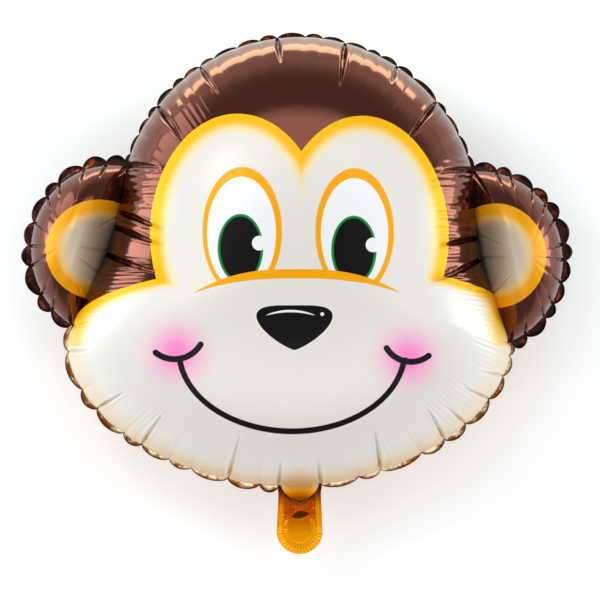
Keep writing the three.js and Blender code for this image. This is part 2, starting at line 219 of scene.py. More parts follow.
def findValley(ear):
    # the valley behind an ear runs straight from notch to notch
    angles = np.linspace(0, 2 * math.pi, form["traceSteps"] + 1)
    x = ear["x"] + ear["rx"] * np.cos(angles)
    y = ear["y"] + ear["ry"] * np.sin(angles)
    flips = np.nonzero(np.diff(insideHead(x, y).astype(int)))[0] + 1
    flips = sorted(flips, key=lambda i: -y[i])
    top = np.array([x[flips[0]], y[flips[0]]])
    bottom = np.array([x[flips[-1]], y[flips[-1]]])
    length = np.linalg.norm(bottom - top)
    along = (bottom - top) / length
    turn = np.sign(along[1]) * ear["side"]
    out = np.array([turn * along[1], -turn * along[0]])
    return {"top": top, "along": along, "length": length, "out": out}


for ear in ears:
    ear["valley"] = findValley(ear)


def beyond(valley, x, y):
    return (x - valley["top"][0]) * valley["out"][0] + (y - valley["top"][1]) * valley["out"][1]


def headRadius(ux, uy):
    hubX, hubY = form["headHub"]
    radius = headOutline(ux, uy)
    least = form["leastFacing"]
    for ear in ears:
        valley = ear["valley"]
        facing = ux * valley["out"][0] + uy * valley["out"][1]
        faces = facing > least
        straight = np.where(faces, -beyond(valley, hubX, hubY) / np.maximum(facing, least), 1e6)
        offX, offY = hubX + straight * ux - valley["top"][0], hubY + straight * uy - valley["top"][1]
        share = (offX * valley["along"][0] + offY * valley["along"][1]) / valley["length"]
        behind = faces & (share > 0) & (share < 1)
        bulge = form["headOverhang"] * np.sin(math.pi * np.clip(share, 0, 1))
        radius = np.where(behind, straight + bulge, radius)
    return radius


def headHeight(share, x, y):
    return np.sqrt(np.maximum(0, 1 - share ** form["fullness"])) + 0 * x


def headCovered(x, y):
    return (insideEllipse(leftEar, x, y) > 0) | (insideEllipse(rightEar, x, y) > 0)


def earHub(ear):
    valley = ear["valley"]
    middle = valley["top"] + valley["along"] * valley["length"] / 2
    return ((middle[0] + ear["x"] + ear["side"] * ear["rx"]) / 2, middle[1])


def earLobe(ear):
    valley, hub = ear["valley"], earHub(ear)

    def radius(ux, uy):
        roundReach = exitRadius(ear, hub, ux, uy)
        inward = -(ux * valley["out"][0] + uy * valley["out"][1])
        cut = (beyond(valley, *hub) + form["valleyDepth"]) / np.maximum(inward, 1e-6)
        return np.where(inward > 0, np.minimum(roundReach, cut), roundReach)

    def height(share, x, y):
        within = np.maximum(0, insideEllipse(ear, x, y))
        rise = np.clip((beyond(valley, x, y) + form["valleyDepth"]) / form["earRise"], 0, 1)
        return form["earFull"] * np.sqrt(within) * (1 - (1 - rise) ** 2) ** form["earCurve"]

    return {
        "hub": hub,
        "startAngle": 0 if ear["side"] < 0 else math.pi,
        "radius": radius,
        "height": height,
        "depth": (form["earDepth"], form["earDepth"]),
        "covered": lambda x, y: insideHead(x, y) | (beyond(valley, x, y) < 0),
        "sections": lambda outline: earSections(outline, ear),
        "rings": 34,
        "ripples": [],
        "levelRipples": [],
    }


def traceOutline(lobe):
    angles = lobe["startAngle"] + np.linspace(0, 2 * math.pi, form["traceSteps"] + 1)
    radius = lobe["radius"](np.cos(angles), np.sin(angles))
    x = lobe["hub"][0] + radius * np.cos(angles)
    y = lobe["hub"][1] + radius * np.sin(angles)
    run = np.concatenate([[0], np.cumsum(np.hypot(np.diff(x), np.diff(y)))])
    return {"x": x, "y": y, "run": run, "whole": run[-1], "covered": lobe["covered"](x, y), "angles": angles}


def pointAlong(outline, run):
    wrapped = np.mod(run, outline["whole"])
    x = np.interp(wrapped, outline["run"], outline["x"])
    y = np.interp(wrapped, outline["run"], outline["y"])
    return np.stack([x, y], axis=-1)


def outwardsAt(outline, runs):
    ahead, behind = pointAlong(outline, runs + 1), pointAlong(outline, runs - 1)
    out = np.stack([ahead[:, 1] - behind[:, 1], behind[:, 0] - ahead[:, 0]], axis=-1)
    return out / np.linalg.norm(out, axis=1)[:, None]


def runAtAngle(outline, degrees):
    return float(np.interp(math.radians(degrees), outline["angles"], outline["run"]))


def coverFlips(outline):
    flips = np.nonzero(np.diff(outline["covered"].astype(int)))[0] + 1
    return [float(outline["run"][i]) for i in flips]


# A section is a stretch of weld from one long pleat to the next: band is 1 where the weld band shows.
def cutAtPleats(outline, start, end, first, longPleats, last, band, region):
    sections = []
    kind = {"band": band, "region": region}
    here, pleat = start, first
    for longPleat in longPleats:
        run = runAtAngle(outline, longPleat[0])
        run += outline["whole"] if run < here else 0
        sections.append({"start": here, "end": run, "count": longPleat[1], "pleat": pleat, **kind})
        here, pleat = run, longPleat
    sections.append({"start": here, "end": end, "count": last, "pleat": pleat, **kind})
    return sections


tail = {
    "x": 4,
    "neckWidth": 46,
    "endWidth": 51,
    "length": 75.5,
    "root": 23.5,
    "flare": 1.5,
    "edge": 0.35,  # half the thickness of the welded film
    "weld": 7.2,
    "rise": 5.5,
    "pocket": 3.0,
    "rays": 23,
    "rayHeight": 0.33,
    "rayWobble": 0.45,  # how far the rays move the pocket's edge
    "rayFade": (1.5, 15, 8),  # they rise over 1.5 from the edge and are gone at 15, fading over 8
    "raySpan": 220,  # degrees round the end that hold all the rays
    "rayDrift": 1.1,
    # the lip of the chin's film over the tail's root
    "lip": {"wide": 19.5, "blunt": 3, "long": 24.5, "from": -2, "height": 17, "least": 3.2},
    "lipPowers": (1.25, 1.45, 1.3, 5),  # its plan across and along, how these join, and its rounding
    "lipSlope": (-4, 31.5, 1.35),  # where it starts to sink, how long that takes, and the power
    "creaseDips": (0.4, 1.8),  # beside a crease: share of its height, how many widths away
    "creaseFade": 0.6,
    "slit": {"x": 4.6, "down": 32.0, "half": 9.3, "tall": 3.6, "turn": 12},
    "slitBow": 0.8,
    "slitDeep": 2.4,
    "slitRim": 0.7,
    # creases by the slit and down the sides: (x, down, x, down, height, width)
    "creases": [
        (-4.5, 34.5, -12.0, 33.5, 0.9, 1.1),
        (-4.0, 33.5, 0.5, 27.0, 0.7, 1.0),
        (14.0, 31.0, 20.5, 25.0, 0.9, 1.1),
        (13.5, 32.5, 17.0, 39.5, 0.7, 1.2),
        (6.0, 26.5, -4.5, 21.5, 0.6, 1.2),
        (9.0, 26.0, 15.0, 14.5, 0.5, 1.4),
        (-8.0, 35.5, -11.5, 44.5, 0.5, 1.3),
        (-11.0, 16.5, -12.5, 49.5, 0.45, 1.0),
        (18.5, 18.5, 20.0, 48.5, 0.45, 1.0),
        (-16.0, 12.5, -17.0, 52.5, 0.3, 0.9),
        (23.5, 12.5, 24.5, 50.5, 0.3, 0.9),
    ],
    "columns": 112,
    "columnTurn": 81,
    "rows": 150,
    "endRows": 44,
}
chinY = form["muzzle"]["y"] - form["muzzle"]["ry"]


def chinRun(outline, x):
    low = np.nonzero(outline["y"] < form["muzzle"]["y"])[0]
    return float(outline["run"][low[np.argmin(np.abs(outline["x"][low] - x))]])


def headSections(outline):
    rightTop, leftTop, leftBottom, rightBottom = coverFlips(outline)
    tailLeft = chinRun(outline, tail["x"] - tail["neckWidth"] / 2)
    tailRight = chinRun(outline, tail["x"] + tail["neckWidth"] / 2)
    # where each stretch starts, its first pleat, its other pleats, whether its band shows, and its region
    stretches = [
        (rightTop, "rightNotch", "crown", 1, "crown"),
        (leftTop, "leftNotch", "leftSide", 0, "side"),
        (leftBottom, "leftWaist", "leftMuzzle", 1, "muzzle"),
        (tailLeft, "chin", "overTail", 0, "muzzle"),
        (tailRight, "chin", "rightMuzzle", 1, "muzzle"),
        (rightBottom, "rightWaist", "rightSide", 0, "side"),
    ]
    ends = [stretch[0] for stretch in stretches[1:]] + [rightTop + outline["whole"]]
    sections = []
    for (start, first, others, shown, region), end in zip(stretches, ends):
        last = pleats["last"][others]
        sections += cutAtPleats(outline, start, end, pleats[first], pleats[others], last, shown, region)
    return sections


def earSections(outline, ear):
    outwards, inwards = coverFlips(outline)
    around = outwards + outline["whole"]

    def section(start, end, count, shown, region):
        gathers = pleats["gathers"][region]
        pleat = (None, 0, gathers["length"], gathers["depth"], 0)
        return {"start": start, "end": end, "count": count, "pleat": pleat, "band": shown, "region": region}

    rim = section(outwards, inwards, ear["scallops"], 1, "ear")
    return [rim, section(inwards, around, pleats["valleyPinches"], 0, "valley")]


headLobe = {
    "hub": form["headHub"],
    "startAngle": 0,
    "radius": headRadius,
    "height": headHeight,
    "depth": (form["faceDepth"], form["backDepth"]),
    "covered": headCovered,
    "sections": headSections,
    "rings": 60,  # rings of points from the hub to the weld
    "ripples": ripples,
    "levelRipples": levelRipples,
}

scallops = {"jitter": 0.28, "turn": 2.4, "power": 0.6}


def findPinches(sections):
    # every pinch between scallops, in running order, with the pleat that starts there
    pinches = []
    for section in sections:
        count = section["count"]
        shares = 1 + scallops["jitter"] * np.sin(scallops["turn"] * np.arange(count) + count)
        edges = section["start"] + (section["end"] - section["start"]) * np.cumsum(shares) / shares.sum()
        runs = [section["start"], *edges[:-1]]
        gathers = pleats["gathers"][section["region"]]
        for i, run in enumerate(runs):
            opens = i == 0
            pinch = {"run": run, "band": section["band"]}
            shape = section["pleat"][2:] if opens else (gathers["length"], gathers["depth"], 0)
            pinch["length"], pinch["depth"], pinch["lean"] = shape
            pinch["long"] = pinch["length"] >= pleats["longFrom"]
            pinch["dent"] = gathers["dent"]
            if pinch["long"] and section["region"] != "valley":
                pinch["dent"] = pleats["pinchDent"]
            if opens and section["pleat"][0] is None:
                pinch["dent"] = 0
            pinch["swell"], pinch["bandShare"] = gathers["swell"], gathers["band"]
            pinch["width"] = pleats["grooveWidth"][section["region"]]
            pinches.append(pinch)
    return pinches


grid = {
    "coarse": 3.0,  # spacing of the columns along the weld
    "pleat": 0.5,
    "short": 0.8,
    "pleatHalf": 7.5,
    "shortHalf": 4.0,
    "ripple": 1.1,
    "closest": 0.95,  # columns nearer than this are thinned towards the hub
    "closestBack": 3.4,
    "thinning": 64,  # the number of columns is a multiple of this
    "finest": 0.25,  # spacing at which the columns are worked out
    "easing": 12,
    "fewest": 16,
    "kept": 12,  # the rings at the weld that keep every column
}


def signedAway(runs, run, whole):
    return (runs - run + whole / 2) % whole - whole / 2


def placeColumns(lobe, outline, pinches):
    # more columns where a pleat or a ripple needs them
    fine = np.arange(0, outline["whole"], grid["finest"])
    spacing = np.full(fine.shape, grid["coarse"])
    middle = np.degrees(np.interp(fine, outline["run"], outline["angles"]))
    for ripple in lobe["ripples"] + lobe["levelRipples"]:
        away = np.abs((middle - ripple[0] + 180) % 360 - 180)
        spacing = np.where(away < ripple[1] * 1.3, grid["ripple"], spacing)
    for pinch in pinches:
        away = signedAway(fine, pinch["run"], outline["whole"])
        lean = pinch["lean"] if pinch["long"] else 0
        half = grid["pleatHalf"] if pinch["long"] else grid["shortHalf"]
        near = (away > min(0, lean) - half) & (away < max(0, lean) + half)
        spacing = np.where(near, np.minimum(spacing, grid["pleat" if pinch["long"] else "short"]), spacing)
    ease = grid["easing"]
    padded = np.concatenate([spacing[-ease:], spacing, spacing[:ease]])
    smooth = np.convolve(padded, np.ones(2 * ease + 1) / (2 * ease + 1), "valid")
    count = np.concatenate([[0], np.cumsum(grid["finest"] / smooth)])
    columns = int(math.ceil(count[-1] / grid["thinning"])) * grid["thinning"]
    wanted = np.linspace(0, count[-1], columns, endpoint=False)
    return np.interp(wanted, count, np.append(fine, outline["whole"]))


def pushScallops(outline, pinches, runs, fromWeld):
    # the film swells between one pinch and the next
    starts = np.array([p["run"] for p in pinches])
    order = (np.searchsorted(starts, runs, side="right") - 1) % len(pinches)
    lengths = (np.roll(starts, -1) - starts) % outline["whole"]
    phase = ((runs - starts[order]) % outline["whole"]) / lengths[order]
    swell = np.array([p["swell"] for p in pinches])[order]
    arch = np.sin(math.pi * np.clip(phase, 0, 1)) ** scallops["power"] * swell
    return arch[:, None] * np.exp(-((fromWeld / pleats["swellLength"]) ** 2))


def pushPleat(pinch, fromWeld, across):
    along = fromWeld / pinch["length"]
    left = np.clip(1 - along, 0, 1)
    deep = np.minimum(1, pleats["atWeld"] + fromWeld / pleats["fullAfter"]) * pinch["depth"]
    if not pinch["long"]:
        return -deep * left ** pleats["shortFade"] * np.exp(-across / pleats["shortWidth"])
    lens = np.sin(math.pi * np.clip(along, 0, 1) ** pleats["widestEarly"])
    width = pinch["width"] * (pleats["thinEnd"] + (1 - pleats["thinEnd"]) * lens)
    groove = pleats["deeper"] * deep * left ** pleats["fade"]
    (keen, keenWide), (soft, softWide) = pleats["keen"], pleats["soft"]
    (lip, lipWide, lipAway), (hollow, hollowWide) = pleats["lip"], pleats["hollow"]
    push = groove * lip * np.exp(-(((across - lipAway * width) / (lipWide * width)) ** 2))
    push -= groove * keen * np.exp(-across / (keenWide * width))
    push -= groove * soft * np.exp(-((across / (softWide * width)) ** 2))
    return push - deep * hollow * left**2 * np.exp(-across / hollowWide)


def pushRipple(ripple, angle, runs, fromWeld, place):
    # crests follow one another along place, inside a window of angles
    middle, half, start, end, wave, height = ripple
    away = np.abs((angle - middle + 180) % 360 - 180)
    window = np.clip(1 - away / half, 0, 1) ** 0.5 * (away < half)
    within = np.clip((fromWeld - start) / rippleForm["fadeIn"], 0, 1)
    within = within * np.clip((end - fromWeld) / rippleForm["fadeOut"], 0, 1)
    stray = rippleForm["stray"] * np.sin(fromWeld / rippleForm["strayEvery"] + middle)
    weakest = rippleForm["weakest"]
    strength = weakest + (1 - weakest) * np.sin(runs / rippleForm["weakEvery"] + middle)
    crest = np.sin(2 * math.pi * (place + stray) / wave)
    return height * (window * strength)[:, None] * within * crest


def pushFilm(lobe, outline, pinches, runs, share, fromWeld, level):
    # how far the film stands out from its smooth form, on a grid of columns and rings
    push = pushScallops(outline, pinches, runs, fromWeld)
    for pinch in pinches:
        lean = pinch["lean"] * np.minimum(fromWeld / pinch["length"], 1)
        away = signedAway(runs[:, None], pinch["run"] + lean, outline["whole"])
        push += pushPleat(pinch, fromWeld, np.abs(away) * share[None, :])
    angle = np.degrees(np.interp(runs, outline["run"], outline["angles"]))
    for ripple in lobe["levelRipples"]:
        push += pushRipple(ripple, angle, runs, fromWeld, level)
    for ripple in lobe["ripples"]:
        push += pushRipple(ripple, angle, runs, fromWeld, runs[:, None])
    return push


wander = {
    "height": 0.55,
    "waves": [(0.021, 0.013, 1.0), (-0.017, 0.026, 2.3), (0.034, -0.022, 4.1)],
    "fadeIn": 30,
}


def uneven(x, y):
    # the film is never quite even, so that reflections bend a little
    waves = sum(np.sin(a * x + b * y + c) for a, b, c in wander["waves"])
    return wander["height"] * waves / len(wander["waves"])


def filmPoints(lobe, outline, pinches, runs, side):
    rings = lobe["rings"]
    share = np.sin(0.5 * math.pi * np.arange(1, rings + 1) / rings)
    weld = pointAlong(outline, runs)
    hub = np.array(lobe["hub"])
    flat = hub + (weld - hub)[:, None, :] * share[None, :, None]
    depth = lobe["depth"][0 if side > 0 else 1]
    half = form["weldThickness"] / 2
    height = depth * lobe["height"](share[None, :], flat[..., 0], flat[..., 1])
    smooth = np.concatenate([flat, side * (height + half)[..., None]], axis=-1)
    # how the surface faces, from its neighbours
    aroundStep = np.roll(smooth, -1, axis=0) - np.roll(smooth, 1, axis=0)
    inStep = np.gradient(smooth, axis=1)
    normal = np.cross(inStep, aroundStep) * side
    normal /= np.linalg.norm(normal, axis=-1)[..., None] + 1e-12
    fromWeld = np.linalg.norm(weld[:, None, :] - flat, axis=-1)
    strides = np.linalg.norm(np.diff(smooth, axis=1), axis=-1)
    alongFilm = np.cumsum(np.concatenate([0 * strides[:, :1], strides[:, ::-1]], axis=1), axis=1)[:, ::-1]
    push = pushFilm(lobe, outline, pinches, runs, share, fromWeld, flat[..., 1])
    push += uneven(flat[..., 0], flat[..., 1]) * np.clip(fromWeld / wander["fadeIn"], 0, 1)
    points = smooth + normal * push[..., None]
    dent = np.zeros(len(runs))
    for pinch in pinches:
        away = np.abs(signedAway(runs, pinch["run"], outline["whole"]))
        dent = np.maximum(dent, pinch["dent"] * np.exp(-away / pleats["pinchWidth"]))
    points[:, -1, :2] = weld - outwardsAt(outline, runs) * dent[:, None]
    points[:, -1, 2] = side * half
    points[..., 2] = np.maximum(points[..., 2], -drawing["weldHeight"])  # it lies on the floor
    return {"points": points, "flat": flat, "weld": weld, "alongFilm": alongFilm}


def thinRings(outline, columns, rings, closest):
    # which columns each ring keeps, from the weld inwards; the number only ever halves
    steps = []
    step = 1
    for ring in range(rings - 1, -1, -1):
        share = math.sin(0.5 * math.pi * (ring + 1) / rings)
        spacing = outline["whole"] * share / (columns / step)
        halves = columns % (step * 2) == 0 and columns // (step * 2) >= grid["fewest"]
        if spacing < closest and halves and ring < rings - grid["kept"]:
            step *= 2
        steps.append(step)
    return steps[::-1]


def stitchRings(rows, middle, side):
    # triangles round the hub, then quads, and three triangles where the next ring has twice the points
    faces = []

    def addFace(*corners):
        faces.append(corners if side > 0 else corners[::-1])

    first = rows[0]
    for i in range(len(first)):
        addFace(middle, first[i], first[(i + 1) % len(first)])
    for inner, outer in zip(rows[:-1], rows[1:]):
        n = len(inner)
        for i in range(n):
            j = (i + 1) % n
            if len(outer) == n:
                addFace(inner[i], outer[i], outer[j], inner[j])
            else:
                a, b, c = outer[2 * i], outer[2 * i + 1], outer[(2 * i + 2) % len(outer)]
                addFace(inner[i], a, b)
                addFace(inner[i], b, inner[j])
                addFace(b, c, inner[j])
    return faces


def newPiece(name, points, edges, faces):
    mesh = bpy.data.meshes.new(name)
    mesh.from_pydata([tuple(point) for point in points], edges, [tuple(int(k) for k in f) for f in faces])
    if faces:
        mesh.polygons.foreach_set("use_smooth", [True] * len(mesh.polygons))
    piece = bpy.data.objects.new(name, mesh)
    bpy.context.scene.collection.objects.link(piece)
    return piece


def storeValues(piece, name, kind, values):
    key = {"FLOAT": "value", "FLOAT_VECTOR": "vector", "FLOAT_COLOR": "color"}[kind]
    attribute = piece.data.attributes.new(name, kind, "POINT")
    attribute.data.foreach_set(key, np.array(values, dtype=np.float32).ravel())


def meshLobe(name, lobe):
    outline = traceOutline(lobe)
    pinches = findPinches(lobe["sections"](outline))
    pinches.sort(key=lambda p: p["run"] % outline["whole"])
    for pinch in pinches:
        pinch["run"] %= outline["whole"]
    runs = placeColumns(lobe, outline, pinches)
    columns = len(runs)
    hub = [np.array(value) for value in lobe["hub"]]
    verts, places, rims, films, faces, edges = [], [], [], [], [], []
    for side in (1, -1):
        film = filmPoints(lobe, outline, pinches, runs, side)
        steps = thinRings(outline, columns, lobe["rings"], grid["closest" if side > 0 else "closestBack"])
        rows = []
        for ring in range(lobe["rings"]):
            kept = np.arange(0, columns, steps[ring])
            flat = film["flat"][kept, ring]
            rows.append(np.arange(len(verts), len(verts) + len(kept)))
            verts.extend(film["points"][kept, ring])
            places.extend(np.concatenate([flat, np.full((len(kept), 1), float(side))], axis=1))
            rims.extend(np.linalg.norm(film["weld"][kept] - flat, axis=1))
            films.extend(film["alongFilm"][kept, ring])
        hubHeight = lobe["depth"][0 if side > 0 else 1] * float(lobe["height"](np.array(0.0), *hub))
        hubHeight += form["weldThickness"] / 2 + uneven(*lobe["hub"])
        if side < 0:
            hubHeight = min(hubHeight, drawing["weldHeight"])
        faces.extend(stitchRings(rows, len(verts), side))
        verts.append(np.array([*lobe["hub"], side * hubHeight]))
        places.append(np.array([*lobe["hub"], float(side)]))
        rims.append(float(np.linalg.norm(film["weld"][0] - lobe["hub"])))
        films.append(float(film["alongFilm"].max()))
        edges.append(rows[-1])
    for i in range(columns):
        j = (i + 1) % columns
        faces.append((edges[0][i], edges[1][i], edges[1][j], edges[0][j]))
    piece = newPiece(name, toFrame(np.array(verts)), [], faces)
    storeValues(piece, "print", "FLOAT_VECTOR", places)
    # how far a point is from the weld, as drawn flat and along the film
    storeValues(piece, "rim", "FLOAT", rims)
    storeValues(piece, "film", "FLOAT", films)
    piece.data.validate()
    return piece, outline, pinches


# The scalloped weld band

band = {
    "width": 8.8,
    "pinch": 0.1,  # share of the width that is left at a pinch
    "uneven": 0.3,  # how much narrower some scallops are
    "unevenTurn": 5.3,
    "curl": 3.4,
    "curlPower": 1.6,
    "thickness": 0.55,
    "inset": 0.16,  # share of the width that is tucked under the film
    "section": 14,
    "ruffle": 0.5,
    "ruffleScale": 95,
    "step": 0.9,  # spacing of the points along the weld
}


def addNode(tree, kind, inputs, **settings):
    # an input is given as a number or as the output that feeds it
    node = tree.nodes.new(kind)
    for name, value in settings.items():
        setattr(node, name, value)
    for name, value in inputs.items():
        if hasattr(value, "is_output"):
            tree.links.new(value, node.inputs[name])
        else:
            node.inputs[name].default_value = value
    return node


def makeMaths(tree, operation, *values):
    return addNode(tree, "ShaderNodeMath", dict(enumerate(values)), operation=operation).outputs[0]


def bandTree():
    # sweeps a thin cupped section along the weld, as wide as each scallop is there
    tree = bpy.data.node_groups.new("weld_scallops", "GeometryNodeTree")
    inputs = {
        "Weld": "Geometry",
        "Width": "Float",
        "Thickness": "Float",
        "Curl": "Float",
        "Inset": "Float",
        "Section": "Int",
        "Ruffle": "Float",
        "Foil": "Material",
    }
    for name, kind in inputs.items():
        tree.interface.new_socket(name, in_out="INPUT", socket_type="NodeSocket" + kind)
    tree.interface.new_socket("Band", in_out="OUTPUT", socket_type="NodeSocketGeometry")

    def add(kind, inputs, **settings):
        return addNode(tree, kind, inputs, **settings).outputs

    given = add("NodeGroupInput", {})
    curve = add("GeometryNodeMeshToCurve", {"Mesh": given["Weld"]})["Curve"]
    upright = add("GeometryNodeSetCurveNormal", {"Normal": (0, 0, 1), "Curve": curve}, mode="FREE")["Curve"]
    circle = add("GeometryNodeCurvePrimitiveCircle", {"Radius": 1, "Resolution": given["Section"]})["Curve"]
    split = add("ShaderNodeSeparateXYZ", {0: add("GeometryNodeInputPosition", {})[0]})
    across = makeMaths(tree, "MULTIPLY_ADD", split["X"], 0.5, 0.5)
    outwards = makeMaths(tree, "SUBTRACT", across, given["Inset"])
    wide = makeMaths(tree, "MULTIPLY", outwards, given["Width"])
    bend = makeMaths(tree, "POWER", across, band["curlPower"])
    bend = makeMaths(tree, "MULTIPLY", bend, given["Curl"])
    thick = makeMaths(tree, "MULTIPLY", split["Y"], 0.5)
    thick = makeMaths(tree, "MULTIPLY", thick, given["Thickness"])
    thick = makeMaths(tree, "SUBTRACT", thick, bend)
    join = add("ShaderNodeCombineXYZ", {"X": thick, "Y": wide})[0]
    marks = {"Name": "across", "Geometry": circle, "Value": across}
    marked = add("GeometryNodeStoreNamedAttribute", marks, data_type="FLOAT")["Geometry"]
    shaped = add("GeometryNodeSetPosition", {"Geometry": marked, "Position": join})["Geometry"]
    swell = add("GeometryNodeInputNamedAttribute", {"Name": "swell"}, data_type="FLOAT")["Attribute"]
    swept = {"Fill Caps": True, "Curve": upright, "Profile Curve": shaped, "Scale": swell}
    sweep = add("GeometryNodeCurveToMesh", swept)["Mesh"]
    noise = add("ShaderNodeTexNoise", {"Scale": band["ruffleScale"], "Detail": 1})["Fac"]
    centred = makeMaths(tree, "SUBTRACT", noise, 0.5)
    lift = add("ShaderNodeCombineXYZ", {"Z": makeMaths(tree, "MULTIPLY", centred, given["Ruffle"])})[0]
    ruffled = add("GeometryNodeSetPosition", {"Geometry": sweep, "Offset": lift})["Geometry"]
    smooth = add("GeometryNodeSetShadeSmooth", {"Geometry": ruffled})["Geometry"]
    real = add("GeometryNodeRealizeInstances", {"Geometry": smooth})["Geometry"]
    foil = add("GeometryNodeSetMaterial", {"Geometry": real, "Material": given["Foil"]})["Geometry"]
    add("NodeGroupOutput", {"Band": foil})
    return tree


def setInputs(modifier, tree, values):
    for item in tree.interface.items_tree:
        if item.in_out == "INPUT" and item.name in values:
            modifier[item.identifier] = values[item.name]


def faceOut(mesh, joinWithin=0):
    shell = bmesh.new()
    shell.from_mesh(mesh)
    if joinWithin:
        bmesh.ops.remove_doubles(shell, verts=shell.verts, dist=joinWithin)
    bmesh.ops.recalc_face_normals(shell, faces=shell.faces)
    shell.to_mesh(mesh)
    shell.free()


def freeze(piece, name):
    # turns the evaluated piece into a plain mesh with its normals outwards
    graph = bpy.context.evaluated_depsgraph_get()
    mesh = bpy.data.meshes.new_from_object(piece.evaluated_get(graph))
    piece.modifiers.clear()
    old = piece.data
    piece.data = mesh
    bpy.data.meshes.remove(old)
    piece.name = mesh.name = name
    faceOut(mesh, 1e-6)
    mesh.polygons.foreach_set("use_smooth", [True] * len(mesh.polygons))
    return piece


def makeBand(name, lines, foil):
    # one piece of band from stretches of weld, each (outline, pinches, wanted)
    verts, edges, swell = [], [], []
    for outline, pinches, wanted in lines:
        starts = np.array([p["run"] for p in pinches])
        lengths = (np.roll(starts, -1) - starts) % outline["whole"]
        joined = False
        for i, pinch in enumerate(pinches):
            if not (pinch["band"] and wanted(*pointAlong(outline, pinch["run"] + lengths[i] / 2))):
                joined = False
                continue
            steps = int(lengths[i] / band["step"])
            phase = np.linspace(0, 1, steps + 1)
            runs = starts[i] + lengths[i] * phase
            after = pinches[(i + 1) % len(pinches)]
            dent = pinch["dent"] * np.exp(-lengths[i] * phase / pleats["pinchWidth"])
            dent = np.maximum(dent, after["dent"] * np.exp(-lengths[i] * (1 - phase) / pleats["pinchWidth"]))
            line = pointAlong(outline, runs) - outwardsAt(outline, runs) * dent[:, None]
            narrower = 0.5 + 0.5 * math.sin(band["unevenTurn"] * i + 1)
            wide = pinch["bandShare"] * (1 - band["uneven"] * narrower)
            share = band["pinch"] + (wide - band["pinch"]) * np.sin(math.pi * phase) ** scallops["power"]
            skip = 1 if joined else 0
            first = len(verts) - skip
            verts.extend((x, y, 0) for x, y in line[skip:])
            swell.extend(share[skip:])
            edges.extend((k, k + 1) for k in range(first, len(verts) - 1))
            joined = True
    piece = newPiece(name, toFrame(verts), edges, [])
    storeValues(piece, "swell", "FLOAT", swell)
    modifier = piece.modifiers.new("scallops", "NODES")
    modifier.node_group = scallopTree
    values = {
        "Width": band["width"] * mm / (1 - band["inset"]),
        "Thickness": band["thickness"] * mm,
        "Curl": band["curl"] * mm,
        "Inset": band["inset"],
        "Section": band["section"],
        "Ruffle": band["ruffle"] * mm,
        "Foil": foil,
    }
    setInputs(modifier, scallopTree, values)
    return freeze(piece, name)


# Finishes


def srgb(red, green, blue):
    def linear(value):
        share = value / 255
        return share / 12.92 if share <= 0.04045 else ((share + 0.055) / 1.055) ** 2.4

    return (linear(red), linear(green), linear(blue), 1)


class Wire:
    # a number in a shader that takes plain arithmetic
    def __init__(self, tree, socket):
        self.tree, self.socket = tree, socket

    def do(self, operation, *others):
        values = [o.socket if isinstance(o, Wire) else o for o in (self, *others)]
        return Wire(self.tree, makeMaths(self.tree, operation, *values))

    def __add__(self, other):
        return self.do("ADD", other)

    def __sub__(self, other):
        return self.do("SUBTRACT", other)

    def __mul__(self, other):
        return self.do("MULTIPLY", other)

    def __truediv__(self, other):
        return self.do("DIVIDE", other)

    def __pow__(self, other):
        return self.do("POWER", other)

    def most(self, other):
        return self.do("MAXIMUM", other)

    def least(self, other):
        return self.do("MINIMUM", other)

    def size(self):
        return self.do("ABSOLUTE")

    def root(self):
        return self.do("SQRT")

    def ramp(self, low, high):
        # 0 up to low, 1 from high on, smooth between
        inputs = {"From Min": low, "From Max": high, "Value": self.socket}
        node = addNode(self.tree, "ShaderNodeMapRange", inputs, interpolation_type="SMOOTHSTEP")
        return Wire(self.tree, node.outputs["Result"])


inkEdge = 0.35  # half the width of a printed edge


def inside(distance):
    # 1 where a distance into a shape is positive
    return distance.ramp(-inkEdge, inkEdge)


def paint(tree, under, colour, mask):
    inputs = {"Factor": mask.socket, "A": under, "B": colour}
    return addNode(tree, "ShaderNodeMix", inputs, data_type="RGBA").outputs["Result"]


def blend(under, over, mask):
    # a number that goes from one value to another
    return (mask * (over - under)) + under


def intoEllipse(x, y, oval, power=2):
    # roughly how far a point is inside an ellipse
    centreX, centreY, rx, ry = oval
    dx, dy = x - centreX, y - centreY
    q = (((dx / rx).size() ** power) + ((dy / ry).size() ** power)) ** (1 / power)
    reach = ((dx * dx) + (dy * dy)).root()
    return reach / q.most(0.01) - reach


def intoDot(x, y, centreX, centreY, radius):
    dx, dy = x - centreX, y - centreY
    return (((dx * dx) + (dy * dy)).root() * -1) + radius


def newMaterial(name):
    material = bpy.data.materials.new(name)
    material.use_nodes = True
    return material, material.node_tree, material.node_tree.nodes["Principled BSDF"]


def setShader(shader, values):
    for name, value in values.items():
        shader.inputs[name].default_value = value


def readAttribute(tree, name, output="Fac"):
    return addNode(tree, "ShaderNodeAttribute", {}, attribute_name=name).outputs[output]


def noiseAt(tree, scale, detail=2, roughness=0.5):
    where = addNode(tree, "ShaderNodeTexCoord", {}).outputs["Object"]
    inputs = {"Scale": scale, "Detail": detail, "Roughness": roughness, "Vector": where}
    return Wire(tree, addNode(tree, "ShaderNodeTexNoise", inputs).outputs["Fac"])


def addBump(tree, shader, scale, strength, distance):
    # fine unevenness of the film
    inputs = {"Strength": strength, "Distance": distance, "Height": noiseAt(tree, scale).socket}
    bump = addNode(tree, "ShaderNodeBump", inputs)
    tree.links.new(bump.outputs["Normal"], shader.inputs["Normal"])


